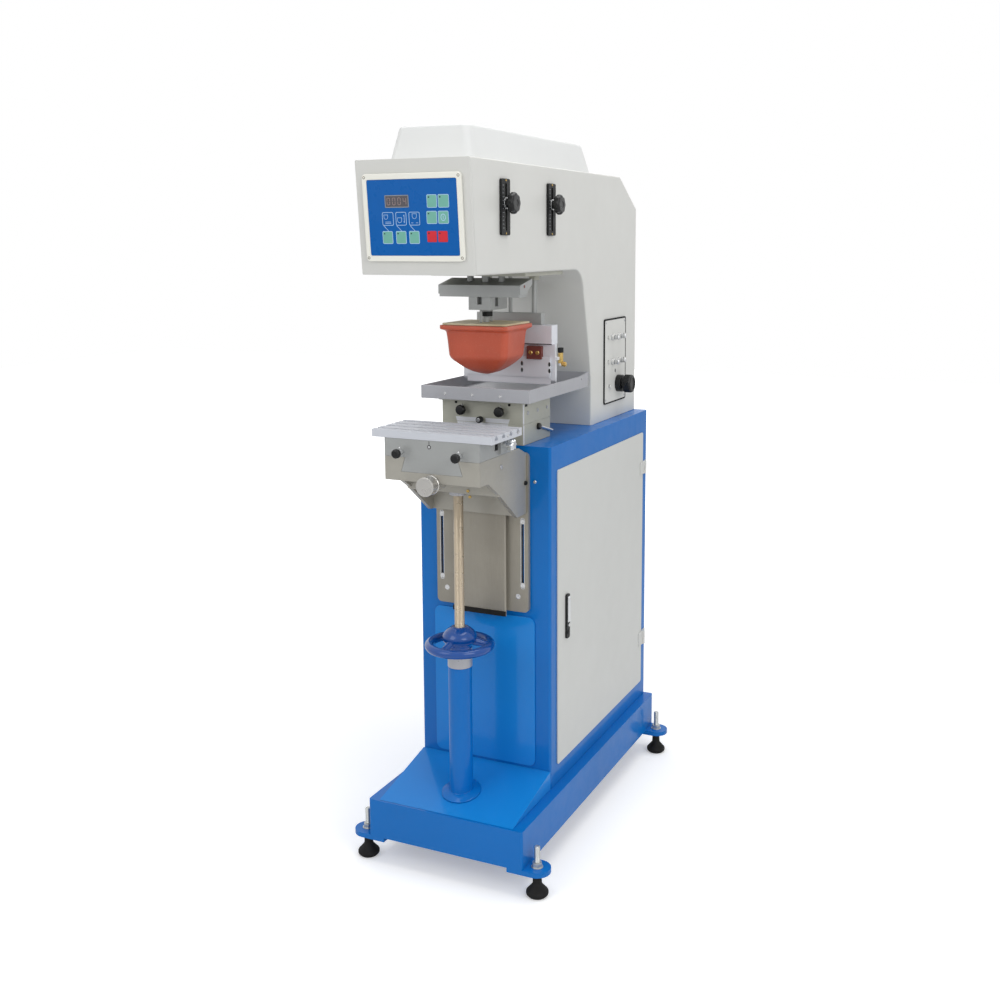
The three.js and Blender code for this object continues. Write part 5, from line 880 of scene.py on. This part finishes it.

# Doctor blade unit: clamping block with two screws, adjusting slots with painted shade in them, and
# the seam of the holder
piece("blade_block", prism(rectangle(47, 82, 1045, 1073, 1.5), "y", BLOCK_FRONT, 320.2), MAROON,
      "blade_unit", bevel=0.5)
screws("blade_block_screws", [(x, BLOCK_FRONT, 1059) for x in (56.5, 72.5)], "y", -1, 4.6, 1.8,
       BRASS, "blade_unit")
slots = [(x, z) for x in (34.8, 99) for z in (1035, 1021)]
# Painted shade: each slot's opening is a flat dark disc that stands for the shadow inside it
holes = [disc((x, HOLDER_FRONT, z), "y", 2.3, 4.6, -0.25, 0.1) for x, z in slots]
piece("blade_slot_painted_shade", join(*holes), DARK, "blade_unit")
rims = [hoop(ellipse(x, z, 3.1, 5.5), ellipse(x, z, 2.3, 4.6), "y", HOLDER_FRONT - 0.4,
             HOLDER_FRONT + 0.1) for x, z in slots]
piece("blade_slot_rims", join(*rims), BRIGHT, "blade_unit")
seam = box(-104.7, 104.7, HOLDER_FRONT - 0.25, HOLDER_FRONT + 0.3, 1076.9, 1078.6)
piece("blade_seam", seam, DARK, "blade_unit")
piece("rail_dot", disc((93.8, 200, 1204), "x", 3.2, 3.2, -0.1, 0.4), MAROON, "pad_head")

# Scale plates: screws and the ticks beside the slot, every fourth one longer
for side, y in SCALES:
    screws("scale_screws_" + side, [(SCALE_SIDE, y, z) for z in (1309.2, 1407.8)], "x", 1, 1.8,
           0.8, BRASS, "frame")
    ticks = []
    for k in range(12):
        z = 1319 + 7.2 * k
        end = y - (8.5 if k % 4 else 6.2)
        ticks.append(box(SCALE_SIDE - 0.05, SCALE_SIDE + 0.15, y - 14.5, end, z, z + 1.0))
    piece("scale_ticks_" + side, join(*ticks), GREY, "frame")

# Pneumatic panel: dark seam, valve sleeves, regulator neck, small printed symbols and screws
seam = hoop(rectangle(AIR_Y0 - 1.6, AIR_Y1 + 1.6, AIR_Z0 - 1.6, AIR_Z1 + 1.6, 7),
            rectangle(AIR_Y0 + 2.2, AIR_Y1 - 2.2, AIR_Z0 + 2.0, AIR_Z1 - 2.0, 4), "x",
            AIR_SIDE - 2.6, AIR_SIDE + 0.35)
piece("air_panel_seam", seam, DARK, "frame", bevel=0.3)
sleeve = soften([(0, 123.8), (7.4, 123.8), (7.4, 127), (6.2, 127.8), (6.2, 131.2), (7.3, 131.8),
                 (7.3, 132.1), (0, 132.1)], 0.3)
piece("valve_sleeves", join(*[lathe(sleeve, (0, y, z), "x", 32) for y, z in VALVES]), BRIGHT,
      "frame")
neck = soften([(0, 123.8), (20.4, 123.8), (20.4, 137.4), (13.4, 137.4), (13.4, 142.1),
               (0, 142.1)], [0, 0.5, 0.6, 0.6, 0.5, 0])
piece("regulator_neck", lathe(neck, (0, REGULATOR_Y, REGULATOR_Z), "x", 64), BLACK, "frame")
signs = [disc((AIR_SIDE, y, z), "x", 3.0, 4.4, -0.1, 0.3)
         for y, z in ((601, 1071.5), (601.5, 1014), (608, 956), (648, 990), (706, 1071.5),
                      (706, 1013))]
piece("air_panel_signs", join(*signs), INK, "frame")
screws("air_panel_screws", [(AIR_SIDE, y, z) for z in (AIR_Z0 + 8, AIR_Z1 - 8)
                            for y in (AIR_Y0 + 8, AIR_Y1 - 8)],
       "x", 1, 2.4, 0.9, GROUND, "frame")
screws("service_screws", [(x, 801.3, z) for x in (-21, 74) for z in (291.5, 314.5)], "y", 1, 2.4,
       0.8, GROUND, "frame")

# Bed: light corner edges, plates on its front, and the cap, bar and bolts on its right side
for node, body, low, high in (("base", "frame", 880, 920.4), ("slide", "bed", 921.9, 965.2)):
    edge = box(92.6, 94.8, BED_FRONT - 0.2, BED_FRONT + 2.5, low, high)
    piece("bed_edge_" + node, edge, HOLDER, body, bevel=0.4)
PLATE_FRONT, PLATE_BACK = BED_FRONT - 0.16, BED_FRONT + 0.2
plates = [prism(outline, "y", PLATE_FRONT, PLATE_BACK)
          for outline in ([(-63, 931), (-7, 931), (-7, 921.8), (-60, 921.8)],
                          [(7, 931), (63, 931), (60, 921.8), (7, 921.8)])]
piece("bed_slide_plates", join(*plates), HOLDER, "bed")
plate = prism([(-59.5, 920.6), (59.5, 920.6), (56, 900), (-56, 900)], "y", PLATE_FRONT,
              PLATE_BACK)
piece("bed_base_plate", plate, HOLDER, "frame")
cap = soften([(0, 0), (7, 0), (7, 5), (5.6, 6.6), (0, 6.6)], [0, 0, 0.6, 1, 0])
piece("bed_side_cap", lathe(cap, (94.4, 264, 909), "x", 40), BLACK, "frame")
bar = turn(rod(3.4, (0, 0, 0), "y", 0, 62, 24, 1.2),
           Matrix.Translation((98.2, 270, 908)) @ Matrix.Rotation(-0.27, 4, "X"))
piece("bed_side_bar", bar, BRIGHT, "frame")
screws("bed_side_bolts", [(94.6, y, 944) for y in (213, 262, 311)], "x", 1, 4.0, 1.6, GROUND,
       "bed")
piece("bed_side_notch", box(94.3, 94.75, 199, 211, 958, 963), DARK, "bed")
screws("table_end_bolts", [(TABLE_SIDE, 39.8, 924.8), (TABLE_SIDE, 85.1, 923.9)], "x", 1, 3.0,
       1.2, BRIGHT, "table")

# Hose fitting of the blade unit, and the dark nut over the pad's board
upright = (FITTING_X, FITTING_Y, 0)
branch = (0, FITTING_Y, 1034)
fitting = [prism(hexagon(FITTING_X, FITTING_Y, 6.2), "z", 1036, 1045),
           rod(5.6, upright, "z", 1045, 1058.5), rod(4.4, branch, "x", FITTING_X, 127),
           rod(5.6, branch, "x", 121, 125)]
piece("hose_fitting", join(*fitting), BRASS, "blade_unit")
piece("hose_fitting_cap", rod(6.3, upright, "z", 1058.6, 1069.4, 32, 1.0), BLACK_MATT,
      "blade_unit")
piece("adaptor_nut", prism(hexagon(0, PAD_Y, 14.6), "z", 1141.6, 1151.4), BLACK_MATT, "pad_head",
      bevel=1.0)


# Camera at the photograph's angle
lens = bpy.data.cameras.new("camera")
lens.sensor_width = 36
lens.sensor_fit = "HORIZONTAL"
lens.lens = 42.457
lens.shift_x = -0.027814
lens.shift_y = -0.091375
lens.clip_end = 100
right = Vector((0.90900644, 0.41677011, -0.00315694))
up = Vector((-0.05543092, 0.12839928, 0.99017223))
back = Vector((0.41307954, -0.89989794, 0.13981772))
pose = Matrix((right, up, back)).transposed().to_4x4()
pose.translation = at(1100.03, -1977.36, 1293.15)
camera = add_object("camera", lens)
camera.matrix_world = pose
bpy.context.scene.camera = camera


# World: soft light for the object, plain white for what the camera, metal and glass see
world = bpy.data.worlds.new("studio")
bpy.context.scene.world = world
world.use_nodes = True
tree = world.node_tree
tree.nodes.clear()


def background(colour, strength):
    made = tree.nodes.new("ShaderNodeBackground")
    made.inputs["Color"].default_value = colour
    made.inputs["Strength"].default_value = strength
    return made.outputs[0]


def larger(first, second):
    made = tree.nodes.new("ShaderNodeMath")
    made.operation = "MAXIMUM"
    tree.links.new(first, made.inputs[0])
    tree.links.new(second, made.inputs[1])
    return made.outputs[0]


rays = tree.nodes.new("ShaderNodeLightPath").outputs
seen = larger(larger(rays["Is Camera Ray"], rays["Is Transmission Ray"]), rays["Is Glossy Ray"])
mixer = tree.nodes.new("ShaderNodeMixShader")
tree.links.new(seen, mixer.inputs[0])
tree.links.new(background((0.98, 0.99, 1.0, 1), 0.53), mixer.inputs[1])
tree.links.new(background((1, 1, 1, 1), 1.0), mixer.inputs[2])
output = tree.nodes.new("ShaderNodeOutputWorld")
tree.links.new(mixer.outputs[0], output.inputs["Surface"])

# Lamps: name, place and target in metres, width and height in metres, watts
LAMPS = (
    ("key", (3.3, -2.2, 2.5), (0, 0, 0.7), 2.2, 2.2, 44),
    ("top", (0.2, 0.0, 3.5), (0, 0, 0.9), 2.4, 2.8, 54),
    ("fill", (-1.5, -3.2, 2.5), (0, 0, 0.8), 2.0, 2.0, 26),
)
for name, spot, target, width, height, watts in LAMPS:
    data = bpy.data.lights.new(name, "AREA")
    data.shape = "RECTANGLE"
    data.size, data.size_y = width, height
    data.energy = watts
    lamp = add_object(name, data)
    lamp.location = spot
    lamp.rotation_euler = (Vector(target) - Vector(spot)).to_track_quat("-Z", "Y").to_euler()

# Floor: pale and plain, it keeps the shadow and fades to white away from the machine
REACH = 9
floor_mesh = bpy.data.meshes.new("floor")
floor_mesh.from_pydata([(x, y, 0) for x, y in rectangle(-REACH, REACH, -REACH, REACH)], [],
                       [(0, 1, 2, 3)])
floor = add_object("floor", floor_mesh)
pale = Finish("pale_floor")
pale.set(Base_Color=(0.9, 0.9, 0.9, 1), Roughness=0.9, Specular_IOR_Level=0.1)
glow = pale.node("ShaderNodeEmission")
glow.inputs["Color"].default_value = (1, 1, 1, 1)
camera_ray = pale.node("ShaderNodeLightPath").outputs["Is Camera Ray"]
away = pale.node("ShaderNodeVectorMath", operation="LENGTH")
pale.link(pale.coords, away.inputs[0])
share = pale.node("ShaderNodeMath", operation="MULTIPLY")
pale.link(camera_ray, share.inputs[0])
pale.link(pale.spread(away.outputs["Value"], 0.3, 1.0, 0.9, 3.2), share.inputs[1])
pale.link(share.outputs[0], glow.inputs["Strength"])
both = pale.node("ShaderNodeAddShader")
pale.link(pale.body.outputs["BSDF"], both.inputs[0])
pale.link(glow.outputs[0], both.inputs[1])
pale.link(both.outputs[0], pale.out.inputs["Surface"])
floor_mesh.materials.append(pale.material)

bpy.context.scene.view_settings.view_transform = "Standard"
